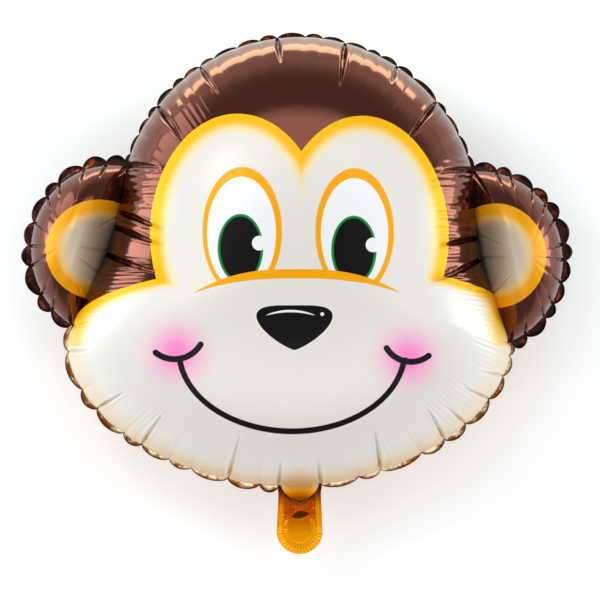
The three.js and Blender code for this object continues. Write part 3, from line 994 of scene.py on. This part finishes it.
ink = {
    "brown": srgb(108, 56, 40),
    "white": srgb(234, 230, 223),
    "cream": srgb(232, 208, 168),
    "beige": srgb(222, 188, 136),
    "yellow": srgb(252, 190, 12),
    "paleYellow": srgb(252, 224, 140),
    "orange": srgb(252, 172, 4),
    "eyeWhite": srgb(246, 247, 250),
    "green": srgb(12, 140, 62),
    "black": srgb(14, 11, 12),
    "chinAmber": srgb(222, 168, 92),
    "pink": srgb(255, 128, 208),
    "earYellow": srgb(232, 156, 10),
    "earGrey": srgb(150, 130, 112),
    # earGreyHighlight is the ear's grey print lightened by a painted highlight towards its outer side
    "earGreyHighlight": srgb(208, 192, 168),
    "earHalf": srgb(230, 188, 96),
    "valleyShadeYellow": srgb(150, 82, 8),  # the ear's print where it goes on over the head, darkened: painted shade of the valley
    "valleyShadeGrey": srgb(70, 48, 36),
    "edgeLine": srgb(92, 46, 44),
    "backAmber": srgb(214, 132, 20),
}
face = {
    "leftLobe": (-64.2, 63.1, 96.3, 132.8),
    "rightLobe": (73.1, 60.9, 94.6, 132.8),
    "muzzle": (-5.5, -58.7, 250.2, 87.0),
    "muzzleTilt": -0.024,
    "muzzlePower": 2.5,
    "borderSolid": 9.5,
    "borderFade": 26.0,
    "edgeLine": 1.0,
    "valleyGap": 2.0,
    "eyes": [
        {
            "outer": (-59.0, 66.4, 43.7, 70.8),
            "inner": (-59.8, 64.2, 37.9, 62.2),
            "pupil": (-60.9, 47.9, 25.1, 37.7),
            "glint": (-40.2, 53.5, 8.0),
        },
        {
            "outer": (64.4, 65.9, 43.1, 70.0),
            "inner": (64.3, 63.7, 37.0, 61.2),
            "pupil": (63.5, 45.9, 24.9, 37.7),
            "glint": (84.5, 51.6, 8.0),
        },
    ],
    "irisRing": 2.8,
    "lid": {"x": 1.1, "half": 114.5, "tip": -1.8, "top": 25.0, "under": 14.8},
    "lidBends": (2.7, 2.6),  # how flat its upper and lower lines are in the middle
    "nose": {"x": -1.6, "top": -14.6, "height": 49.3, "width": 74.5},
    "noseCurves": (0.25, 0.8),  # how its sides run at the top and at the point
    "noseHalo": 1.6,
    "noseShine": {"x": -6.0, "y": -21.0, "half": 27.0, "sag": 4.6, "thick": 1.5},
    "noseDot": (28.8, -24.4, 2.0),
    "smile": {"oval": (-4.4, -64.2, 124.0, 89.1), "thick": 3.3, "below": -72.0},
    "dimples": [
        {"x": -133.4, "y": -40.1, "radius": 33.7, "from": -128, "to": -31.3, "thick": 3.4},
        {"x": 126.5, "y": -45.1, "radius": 31.7, "from": -148.4, "to": -52.3, "thick": 3.4},
    ],
    "blush": [(-130.6, -66.4), (122.9, -72.0)],
    "blushReach": 54.0,
    # colour, how far down it starts and is full, how far from the rim it starts and is full, strength
    "warmRim": [("cream", 28, 60, 26, 3, 0.6), ("beige", 120, 200, 14, 1, 0.8)],
    "overTail": {"radius": 32, "ramp": (4, 34), "strength": 0.9},
    "earPrints": [(-217.0, 46.5, 58.7, 55.4), (220.3, 39.9, 55.4, 57.6)],
    "earBorder": 11.0,
    # an ear's print goes on over the head, measured along its film
    "earOnHead": {"middle": -10.0, "reach": 58.0},
}


# for bare film and for white ink
filmFinish = {
    "metal": (0.9, 0.1),
    "rough": (0.13, 0.34),
    "coat": (0.45, 0.08),
    "earOpaque": 0.93,
    "plain": {"Coat Roughness": 0.06, "Specular IOR Level": 0.12},
    "bump": (36, 0.12, 0.002),  # scale, strength and height
}


def intoMuzzle(x, y):
    tilt, muzzleY = face["muzzleTilt"], face["muzzle"][1]
    tiltedX, tiltedY = x - (y * tilt), y - (x * tilt * -1)
    muzzle = intoEllipse(tiltedX, tiltedY.most(muzzleY), face["muzzle"], face["muzzlePower"])
    for ear in ears:
        # its print ends at the valleys
        (topX, topY), (outX, outY) = ear["valley"]["top"], ear["valley"]["out"]
        before = (x - float(topX)) * -float(outX) + (y - float(topY)) * -float(outY)
        muzzle = muzzle.least(before - face["valleyGap"])
    # and from its middle down it covers all of the film
    below = (y * -1) + muzzleY
    return muzzle.most(below.ramp(0, 1) * 160 - 100)


def paintSkin(tree, x, y, depth):
    # white with a yellow edge, paler and warmer at the muzzle's rim
    solid = face["borderSolid"]
    colour = paint(tree, ink["yellow"], ink["paleYellow"], depth.ramp(solid - 3, solid + 9))
    colour = paint(tree, colour, ink["white"], depth.ramp(solid, face["borderFade"]))
    fromRim = Wire(tree, readAttribute(tree, "rim"))
    for name, downFrom, downTo, rimFrom, rimTo, strength in face["warmRim"]:
        warm = (y * -1).ramp(downFrom, downTo) * fromRim.ramp(rimFrom, rimTo) * strength
        colour = paint(tree, colour, ink[name], warm)
    overTail = face["overTail"]
    near = intoDot(x, y, tail["x"], chinY, overTail["radius"]).ramp(*overTail["ramp"])
    colour = paint(tree, colour, ink["chinAmber"], near * overTail["strength"])
    for centreX, centreY in face["blush"]:
        near = intoDot(x, y, centreX, centreY, face["blushReach"]) / face["blushReach"]
        glow = near.ramp(0.0, 1.0) * 0.6 + near.ramp(0.3, 1.0) * 0.34
        colour = paint(tree, colour, ink["pink"], glow)
    return colour


def paintEyes(tree, colour, x, y):
    # both are cut off by the lid
    lid, (bend, underBend) = face["lid"], face["lidBends"]
    along = ((x - lid["x"]).size() / lid["half"]).least(1.0)
    lidTop = (along**bend) * (lid["tip"] - lid["top"]) + lid["top"]
    lidUnder = (along**underBend) * (lid["tip"] - lid["under"]) + lid["under"]
    aboveLid = inside(y - lidUnder)
    for eye in face["eyes"]:
        pupil = intoEllipse(x, y, eye["pupil"])
        layers = [
            ("orange", intoEllipse(x, y, eye["outer"])),
            ("eyeWhite", intoEllipse(x, y, eye["inner"])),
            ("green", pupil),
            ("black", pupil - face["irisRing"]),
        ]
        for name, into in layers:
            colour = paint(tree, colour, ink[name], inside(into) * aboveLid)
        colour = paint(tree, colour, ink["eyeWhite"], inside(intoDot(x, y, *eye["glint"])))
    between = (x - lid["x"]).size() * -1 + lid["half"]
    line = (lidTop - y).least(y - lidUnder).least(between)
    return paint(tree, colour, ink["orange"], inside(line))


def paintNose(tree, colour, x, y):
    nose, (upper, lower) = face["nose"], face["noseCurves"]
    down = ((y * -1) + nose["top"]) / nose["height"]
    fit = down.most(0.0005).least(0.9995)
    half = (fit**upper) * ((fit * -1 + 1) ** lower) * nose["width"]
    intoNose = half - (x - nose["x"]).size()
    intoNose = intoNose.least(down * nose["height"]).least((down * -1 + 1) * nose["height"])
    colour = paint(tree, colour, ink["eyeWhite"], inside(intoNose + face["noseHalo"]) * 0.6)
    colour = paint(tree, colour, ink["black"], inside(intoNose))
    shine = face["noseShine"]
    over = (x - shine["x"]) / shine["half"]
    curve = (over * over) * -shine["sag"] + shine["y"]
    thick = ((over * over) * -1 + 1).most(0).root() * shine["thick"]
    colour = paint(tree, colour, ink["eyeWhite"], inside(thick - (y - curve).size() - 0.25))
    return paint(tree, colour, ink["eyeWhite"], inside(intoDot(x, y, *face["noseDot"])))


def paintSmile(tree, colour, x, y):
    # the long stroke, with a round-ended dimple at each end
    smile = face["smile"]
    reach = intoEllipse(x, y, smile["oval"]).size()
    strokes = (reach * -1 + smile["thick"]).least((y * -1) + smile["below"])
    for dimple in face["dimples"]:
        dx, dy = x - dimple["x"], y - dimple["y"]
        ring = (((dx * dx) + (dy * dy)).root() - dimple["radius"]).size() * -1 + dimple["thick"]
        first, last = math.radians(dimple["from"]), math.radians(dimple["to"])
        pastFirst = (dy * math.cos(first)) - (dx * math.sin(first))
        beforeLast = (dx * math.sin(last)) - (dy * math.cos(last))
        strokes = strokes.most(ring.least(pastFirst).least(beforeLast))
        for end in (first, last):
            tipX = dimple["x"] + dimple["radius"] * math.cos(end)
            tipY = dimple["y"] + dimple["radius"] * math.sin(end)
            strokes = strokes.most(intoDot(x, y, tipX, tipY, dimple["thick"]))
    return paint(tree, colour, ink["black"], inside(strokes))


def innerEar(tree, x, y, onEar):
    # the colour inside an ear's print, and how far a point is inside it
    left, right = face["earPrints"]
    edge = face["earBorder"]
    if onEar:
        into = intoEllipse(x, y, left).most(intoEllipse(x, y, right))
        yellow = paint(tree, ink["earYellow"], ink["earHalf"], into.ramp(edge - 2, edge + 7))
        # the grey print lightens towards the ear's outer side: painted highlight
        grey = paint(tree, ink["earGrey"], ink["earGreyHighlight"], x.size().ramp(205, 250))
    else:
        # darker copies of the ear's colours: painted shade where the print runs into the valley behind the
        # ear
        yellow, grey = ink["valleyShadeYellow"], ink["valleyShadeGrey"]
        alongFilm, onHead = Wire(tree, readAttribute(tree, "film")), face["earOnHead"]
        onRight = x.ramp(-1, 1)
        middleY, tall = blend(left[1], right[1], onRight), blend(left[3], right[3], onRight)
        into = intoEllipse(alongFilm, y - middleY, (onHead["middle"], 0, onHead["reach"], tall))
    return paint(tree, yellow, grey, into.ramp(edge, edge + 15)), into


def printedFoil(name, onEar):
    material, tree, shader = newMaterial(name)
    split = addNode(tree, "ShaderNodeSeparateXYZ", {0: readAttribute(tree, "print", "Vector")})
    x, y, side = (Wire(tree, split.outputs[axis]) for axis in "XYZ")
    front = side.ramp(-0.1, 0.1)
    muzzle = intoMuzzle(x, y)
    earColour, intoEar = innerEar(tree, x, y, onEar)
    shown = paint(tree, ink["brown"], earColour, inside(intoEar))
    if onEar:
        opaque = inside(intoEar) * filmFinish["earOpaque"] * front
    else:
        lobes = intoEllipse(x, y, face["leftLobe"]).most(intoEllipse(x, y, face["rightLobe"]))
        depth = lobes.most(muzzle)
        colour = paintSkin(tree, x, y, depth)
        for paintPart in (paintEyes, paintNose, paintSmile):
            colour = paintPart(tree, colour, x, y)
        shown = paint(tree, shown, ink["edgeLine"], inside(depth + face["edgeLine"]))
        shown = paint(tree, shown, colour, inside(depth))
        opaque = inside(depth) * front
    # the back is plain: brown, with the muzzle's part in amber
    backColour = paint(tree, ink["brown"], ink["backAmber"], inside(muzzle))
    tree.links.new(paint(tree, backColour, shown, front), shader.inputs["Base Color"])
    for socket, key in (("Metallic", "metal"), ("Roughness", "rough"), ("Coat Weight", "coat")):
        tree.links.new(blend(*filmFinish[key], opaque).socket, shader.inputs[socket])
    setShader(shader, filmFinish["plain"])
    addBump(tree, shader, *filmFinish["bump"])
    return material


foilLooks = {
    # patches of painted highlight over the dark foil, the outer edge, and the line along the weld
    "bandBrown": {
        "patches": (0.52, 0.66),
        "light": srgb(132, 54, 34),
        "dark": srgb(34, 14, 10),
        "edge": srgb(40, 14, 8),
        "weld": srgb(60, 28, 20),
    },
    "bandAmber": {
        "patches": (0.42, 0.6),
        "light": srgb(214, 190, 150),
        "dark": srgb(128, 72, 18),
        "edge": srgb(122, 52, 8),
        # a pale line along the weld: a painted highlight where the film meets the band
        "weld": srgb(255, 244, 222),
    },
}


weldFinish = {
    "edge": (0.7, 0.95),  # from here to here across the band its colour turns to the edge's
    "weld": (0.36, 0.24),
    "rough": 0.11,
    "roughPatches": 0.1,
    "plain": {"Metallic": 0.75, "Specular IOR Level": 0.15, "Coat Weight": 0.08, "Coat Roughness": 0.05},
    "patches": (70, 3, 0.6),  # scale, detail and roughness
    "bump": (210, 0.35, 0.0012),
}


def plainFoil(name, look):
    material, tree, shader = newMaterial(name)
    patches = noiseAt(tree, *weldFinish["patches"])
    # the foil's dark colour, with noise patches of painted highlight
    colour = paint(tree, look["dark"], look["light"], patches.ramp(*look["patches"]))
    across = Wire(tree, readAttribute(tree, "across"))
    # the outer edge, and the line along the weld, which on the amber band is a painted highlight
    for part in ("edge", "weld"):
        colour = paint(tree, colour, look[part], across.ramp(*weldFinish[part]))
    tree.links.new(colour, shader.inputs["Base Color"])
    setShader(shader, weldFinish["plain"])
    rough = patches * weldFinish["roughPatches"] + weldFinish["rough"]
    tree.links.new(rough.socket, shader.inputs["Roughness"])
    addBump(tree, shader, *weldFinish["bump"])
    return material


# The filling tail

endRadius = tail["endWidth"] / 2
endY = chinY - tail["length"] + endRadius


def tailHalf(y):
    along = np.clip((y - endY) / (chinY - endY), 0, 1)
    straight = endRadius + (tail["neckWidth"] / 2 - endRadius) * along
    straight += tail["flare"] * np.exp(-((y - chinY) ** 2) / 30)
    rounded = np.sqrt(np.maximum(0, endRadius**2 - (endY - y) ** 2))
    return np.where(y < endY, rounded, straight)


def tailRay(x, y):
    # the crimps round the end, as a wave that runs round it
    angle = np.arctan2(x - tail["x"], endY - y)
    phase = angle / math.radians(tail["raySpan"]) * 2 * math.pi * tail["rays"]
    wave = np.cos(phase + tail["rayDrift"] * np.sin(3 * angle + 0.7))
    return wave * np.clip((np.cos(angle) + 0.4) / 0.45, 0, 1)


def tailLip(x, y):
    # its height, and how near a point is to its edge, where it is 1
    lip, down = tail["lip"], chinY - y
    acrossPower, alongPower, joinPower, roundPower = tail["lipPowers"]
    across = (np.hypot(x - tail["x"], lip["blunt"]) - lip["blunt"]) / lip["wide"]
    along = np.clip(down - lip["from"], 0, None) / lip["long"]
    q = (across**acrossPower + along**alongPower) ** (1 / joinPower)
    rounding = np.sqrt(np.clip(1 - np.clip(q, 0, 1) ** roundPower, 0, 1))
    start, length, power = tail["lipSlope"]
    left = np.clip(1 - np.clip(down - start, 0, None) / length, 0, 1)
    height = (lip["least"] + lip["height"] * left**power) * rounding
    return np.where(q < 1, height, 0), q


def creaseHeights(x, y):
    z, (dip, dipAway) = 0 * x, tail["creaseDips"]
    for x0, down0, x1, down1, height, width in tail["creases"]:
        ax, ay, bx, by = x0, chinY - down0, x1, chinY - down1
        length = math.hypot(bx - ax, by - ay)
        ux, uy = (bx - ax) / length, (by - ay) / length
        t = np.clip(((x - ax) * ux + (y - ay) * uy) / length, 0, 1)
        away = np.hypot(x - ax - t * length * ux, y - ay - t * length * uy) / width
        ridge = np.exp(-(away**2)) - dip * np.exp(-((away - dipAway) ** 2))
        z += height * (1 - tail["creaseFade"] * t) * ridge
    return z


def cutSlit(x, y, z):
    # a pressed slit with a raised rim; also how deep in it a point lies, up to 1
    slit = tail["slit"]
    turn = math.radians(slit["turn"])
    dx, dy = x - slit["x"], y - (chinY - slit["down"])
    u, v = dx * math.cos(turn) + dy * math.sin(turn), dy * math.cos(turn) - dx * math.sin(turn)
    share = (u / slit["half"]) ** 2
    lens = np.clip(1 - share, 0, 1) * slit["tall"] - np.abs(v + tail["slitBow"] * share)
    gap = np.clip(lens / 0.9 + 0.5, 0, 1)
    z = z - gap * np.minimum(tail["slitDeep"], z - 0.4)
    z += tail["slitRim"] * np.exp(-(((lens + 0.9) / 0.7) ** 2)) * (np.abs(u) < slit["half"] + 2)
    return z, gap


def tailHeights(x, y, front):
    straightIn = tailHalf(y) - np.abs(x - tail["x"])
    roundIn = endRadius - np.hypot(x - tail["x"], y - endY)
    d = np.where(y < endY, roundIn, straightIn)
    ray, (rayIn, rayEnd, rayOut) = tailRay(x, y), tail["rayFade"]
    rise = np.clip((d - tail["weld"] - tail["rayWobble"] * ray) / tail["rise"], 0, 1)
    z = tail["edge"] + tail["pocket"] * rise * rise * (3 - 2 * rise)
    z += tail["rayHeight"] * ray * np.clip(d / rayIn, 0, 1) * np.clip((rayEnd - d) / rayOut, 0, 1)
    gap = 0 * x
    if front:
        z, gap = cutSlit(x, y, z + creaseHeights(x, y))
    lip, q = tailLip(x, y)
    covered = lip > z
    return np.maximum(z, lip), np.where(covered, q, 0), np.where(covered, 0, gap), d


tailInk = {
    "amber": (255, 164, 0),
    # glintGold is a painted highlight for the crests of the crimps
    "glintGold": (255, 200, 50),
    "deep": (186, 72, 0),
    # dark is painted shade: beside and under the chin's lip, in the crimps' troughs and in the crease along
    # the weld
    "dark": (104, 34, 2),
    # slit is painted shade inside the pressed slit
    "slit": (84, 48, 6),
    "cream": (218, 172, 116),
    # the lip's rounded edge: painted shade, with a painted highlight along it
    "lipEdgeShade": (66, 30, 4),
    "lipRimHighlight": (128, 92, 24),
}


def tailTint(x, y, lip, gap, d):
    # colours laid over one another, each as strong as its share
    def mix(under, colour, share):
        return under + (np.array(srgb(*tailInk[colour])) - under) * np.clip(share, 0, 1)[..., None]

    down = chinY - y
    tint = np.zeros((*x.shape, 4)) + np.array(srgb(*tailInk["amber"]))
    tint = mix(tint, "deep", (55 - down) / 24 * (d > tail["weld"]))
    tint = mix(tint, "deep", (36.5 - down) / 30 * 0.7 * (d <= tail["weld"]))
    # painted shade, darker towards the chin, beside and under the lip
    tint = mix(tint, "dark", (23 - down) / 15 * 0.8)
    # painted highlights on the crests of the crimps, and painted shade in their troughs
    tint = mix(tint, "glintGold", np.clip(tailRay(x, y), 0, 1) * (d < tail["weld"] + 3) * 0.7)
    tint = mix(tint, "dark", np.clip(-tailRay(x, y), 0, 1) ** 2 * (d < tail["weld"]) * 0.12)
    # painted shade along the crease at the inner edge of the weld
    tint = mix(tint, "dark", 0.3 * np.exp(-(((d - tail["weld"]) / 0.8) ** 2)))
    on = lip > 0
    tint = np.where(on[..., None], np.array(srgb(*tailInk["deep"])), tint)
    tint = mix(tint, "amber", on * (13 - down) / 8)
    tint = mix(tint, "cream", on * (5.5 - down) / 6.5)
    low = np.clip((down - 8) / 9, 0, 1)
    # the lip's rounded edge: painted shade, with a painted highlight along it near the bottom
    tint = mix(tint, "lipEdgeShade", on * (lip - 0.9 + 0.25 * low) / 0.08)
    tint = mix(tint, "lipRimHighlight", on * low * np.exp(-(((lip - 0.85) / 0.05) ** 2)))
    # painted shade inside the pressed slit
    return mix(tint, "slit", gap)


def makeTail():
    straight = np.linspace(chinY + tail["root"], endY, tail["rows"])
    turns = np.linspace(0, math.pi / 2, tail["endRows"] + 1)[1:-1]
    levels = np.concatenate([straight, endY - endRadius * np.sin(turns)])
    # columns are closer together at the sides
    turn = math.radians(tail["columnTurn"])
    across = np.sin(np.linspace(-1, 1, tail["columns"] + 1) * turn) / math.sin(turn)
    y = np.repeat(levels[:, None], len(across), axis=1)
    x = tail["x"] + across[None, :] * tailHalf(y)
    n, m = y.shape
    verts, tints, faces = [], [], []
    tip = (tail["x"], endY - endRadius)
    for side in (1, -1):
        z, lip, gap, d = tailHeights(x, y, side > 0)
        first = len(verts)
        verts.extend(np.stack([x, y, side * z], axis=-1).reshape(-1, 3))
        tints.extend(tailTint(x, y, lip, gap, d).reshape(-1, 4))
        last = len(verts)
        verts.append((*tip, side * tail["edge"]))
        tints.append(srgb(*tailInk["amber"]))
        for i in range(n - 1):
            for j in range(m - 1):
                a, b = first + i * m + j, first + i * m + j + 1
                corners = (a, a + m, b + m, b)
                faces.append(corners if side > 0 else corners[::-1])
        for j in range(m - 1):
            corners = (first + (n - 1) * m + j, last, first + (n - 1) * m + j + 1)
            faces.append(corners if side > 0 else corners[::-1])
    low = n * m + 1
    ring = [i * m for i in range(n)] + [n * m] + [i * m + m - 1 for i in reversed(range(n))]
    ring += [j for j in reversed(range(1, m - 1))]
    for a, b in zip(ring, ring[1:] + ring[:1]):
        faces.append((a, a + low, b + low, b))
    piece = newPiece("filling_tail", toFrame(np.array(verts)), [], faces)
    storeValues(piece, "tint", "FLOAT_COLOR", tints)
    faceOut(piece.data)
    return piece


tailFinish = {
    "plain": {
        "Metallic": 0.35,
        "Roughness": 0.2,
        "Specular IOR Level": 0.04,
        "Coat Weight": 0.02,
        "Coat Roughness": 0.05,
    },
    "bump": (160, 0.35, 0.0012),
}


def tailFoil():
    material, tree, shader = newMaterial("tail_foil")
    tree.links.new(readAttribute(tree, "tint", "Color"), shader.inputs["Base Color"])
    setShader(shader, tailFinish["plain"])
    addBump(tree, shader, *tailFinish["bump"])
    return material


scallopTree = bandTree()
headMaterial = printedFoil("printed_foil", False)
earMaterial = printedFoil("printed_ear_foil", True)
tailMaterial = tailFoil()
bandBrown = plainFoil("brown_weld", foilLooks["bandBrown"])
bandAmber = plainFoil("amber_weld", foilLooks["bandAmber"])

head, headLine, headPinches = meshLobe("head_film", headLobe)
print("head film", len(head.data.polygons), "faces")
earPieces = [meshLobe("left_ear_film", earLobe(leftEar)), meshLobe("right_ear_film", earLobe(rightEar))]
print("ear films", [len(piece[0].data.polygons) for piece in earPieces], "faces")

waistY = -15  # the weld band is amber from here down
brownLines = [(headLine, headPinches, lambda x, y: y > waistY)]
brownLines += [(line, pinches, lambda x, y: True) for _, line, pinches in earPieces]
brownBand = makeBand("brown_weld_band", brownLines, bandBrown)
amberBand = makeBand("amber_weld_band", [(headLine, headPinches, lambda x, y: y <= waistY)], bandAmber)
print("weld bands", len(brownBand.data.polygons), len(amberBand.data.polygons), "faces")
fillingTail = makeTail()
fillingTail.data.materials.append(tailMaterial)
print("filling tail", len(fillingTail.data.polygons), "faces")

for film, material in ((head, headMaterial), (earPieces[0][0], earMaterial), (earPieces[1][0], earMaterial)):
    film.data.materials.append(material)
    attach(film, "root")
    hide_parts("foil_balloon")
for piece, slot in ((brownBand, "printed_foil"), (amberBand, "amber_foil"), (fillingTail, "amber_foil")):
    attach(piece, "root")
    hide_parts("foil_balloon")


# The floor, the light and the camera

studio = {
    "floorSize": 6.0,
    "floorFinish": {
        "Base Color": (0.84, 0.88, 0.89, 1),
        "Roughness": 0.7,
        "Emission Color": (1, 1, 1, 1),
        "Emission Strength": 0.25,
    },
    "cameraHeight": 12.0,
    "frameWidth": 0.6642,  # what the camera sees across, at the height of the weld
    "lookX": 3.5,
    "lookY": -9.0,
    # how bright the room is towards (height above the horizon as a sine, brightness)
    "room": [
        (0.0, 1.0),
        (0.12, 0.9),
        (0.25, 0.45),
        (0.4, 0.28),
        (0.665, 0.25),
        (0.7, 1.2),
        (0.9, 1.2),
        (0.94, 0.25),
        (1.0, 0.25),
    ],
}


# name, place, what it faces, width, height, power and colour
headMiddle, stripHeight = (0, 0, 0.11), 0.046
cool, plainWhite, greenish = (0.86, 0.96, 1), (1, 1, 1), (0.86, 1, 0.72)
panels = [
    ("left_panel", (-1.6, 0.28, 0.42), headMiddle, 0.8, 0.7, 8.5, cool),
    ("far_left_panel", (-1.25, 1.0, 0.42), headMiddle, 0.6, 0.7, 3, cool),
    ("right_panel", (1.6, 0.26, 0.42), headMiddle, 0.8, 0.7, 8.5, cool),
    ("back_panel", (0, 1.0, 1.85), headMiddle, 1.7, 1.05, 3, plainWhite),
    ("front_panel", (0, -1.0, 1.85), headMiddle, 1.7, 1.05, 4.5, plainWhite),
    ("window_panel", (-0.95, 0.95, 2.0), headMiddle, 0.45, 0.45, 4.5, plainWhite),
    ("low_strip", (0, 0.5, stripHeight), (0, 0, stripHeight), 0.8, 0.088, 1.3, greenish),
]


def makeFloor():
    half = studio["floorSize"] / 2
    corners = [(-half, -half, 0), (half, -half, 0), (half, half, 0), (-half, half, 0)]
    floor = newPiece("floor", corners, [], [(0, 1, 2, 3)])
    material, _, shader = newMaterial("pale_floor")
    setShader(shader, studio["floorFinish"])
    floor.data.materials.append(material)


def makeCamera():
    data = bpy.data.cameras.new("camera")
    drop = studio["cameraHeight"] - drawing["weldHeight"] * mm
    data.lens = data.sensor_width * drop / studio["frameWidth"]
    camera = bpy.data.objects.new("camera", data)
    camera.location = (studio["lookX"] * mm, studio["lookY"] * mm, studio["cameraHeight"])
    bpy.context.scene.collection.objects.link(camera)
    bpy.context.scene.camera = camera


def makePanel(name, place, aim, width, height, power, colour):
    data = bpy.data.lights.new(name, "AREA")
    data.shape = "RECTANGLE"
    data.size, data.size_y = width, height
    data.energy = power
    data.color = colour
    panel = bpy.data.objects.new(name, data)
    panel.location = place
    panel.rotation_euler = (Vector(aim) - Vector(place)).to_track_quat("-Z", "Y").to_euler()
    bpy.context.scene.collection.objects.link(panel)


def makeWorld():
    world = bpy.data.worlds.new("studio")
    world.use_nodes = True
    tree = world.node_tree
    direction = addNode(tree, "ShaderNodeTexCoord", {}).outputs["Generated"]
    split = addNode(tree, "ShaderNodeSeparateXYZ", {0: direction})
    ramp = addNode(tree, "ShaderNodeValToRGB", {"Fac": split.outputs["Z"]})
    stops = ramp.color_ramp.elements
    brightest = max(level for _, level in studio["room"])
    # a new ramp has two stops already
    for i, (height, level) in enumerate(studio["room"]):
        stop = stops[i] if i < 2 else stops.new(height)
        stop.position = height
        stop.color = (level / brightest, level / brightest, level / brightest, 1)
    sky = tree.nodes["Background"]
    tree.links.new(ramp.outputs["Color"], sky.inputs["Color"])
    sky.inputs["Strength"].default_value = brightest
    bpy.context.scene.world = world


makeFloor()
makeCamera()
makeWorld()
for panel in panels:
    makePanel(*panel)
bpy.context.scene.view_settings.view_transform = "Standard"
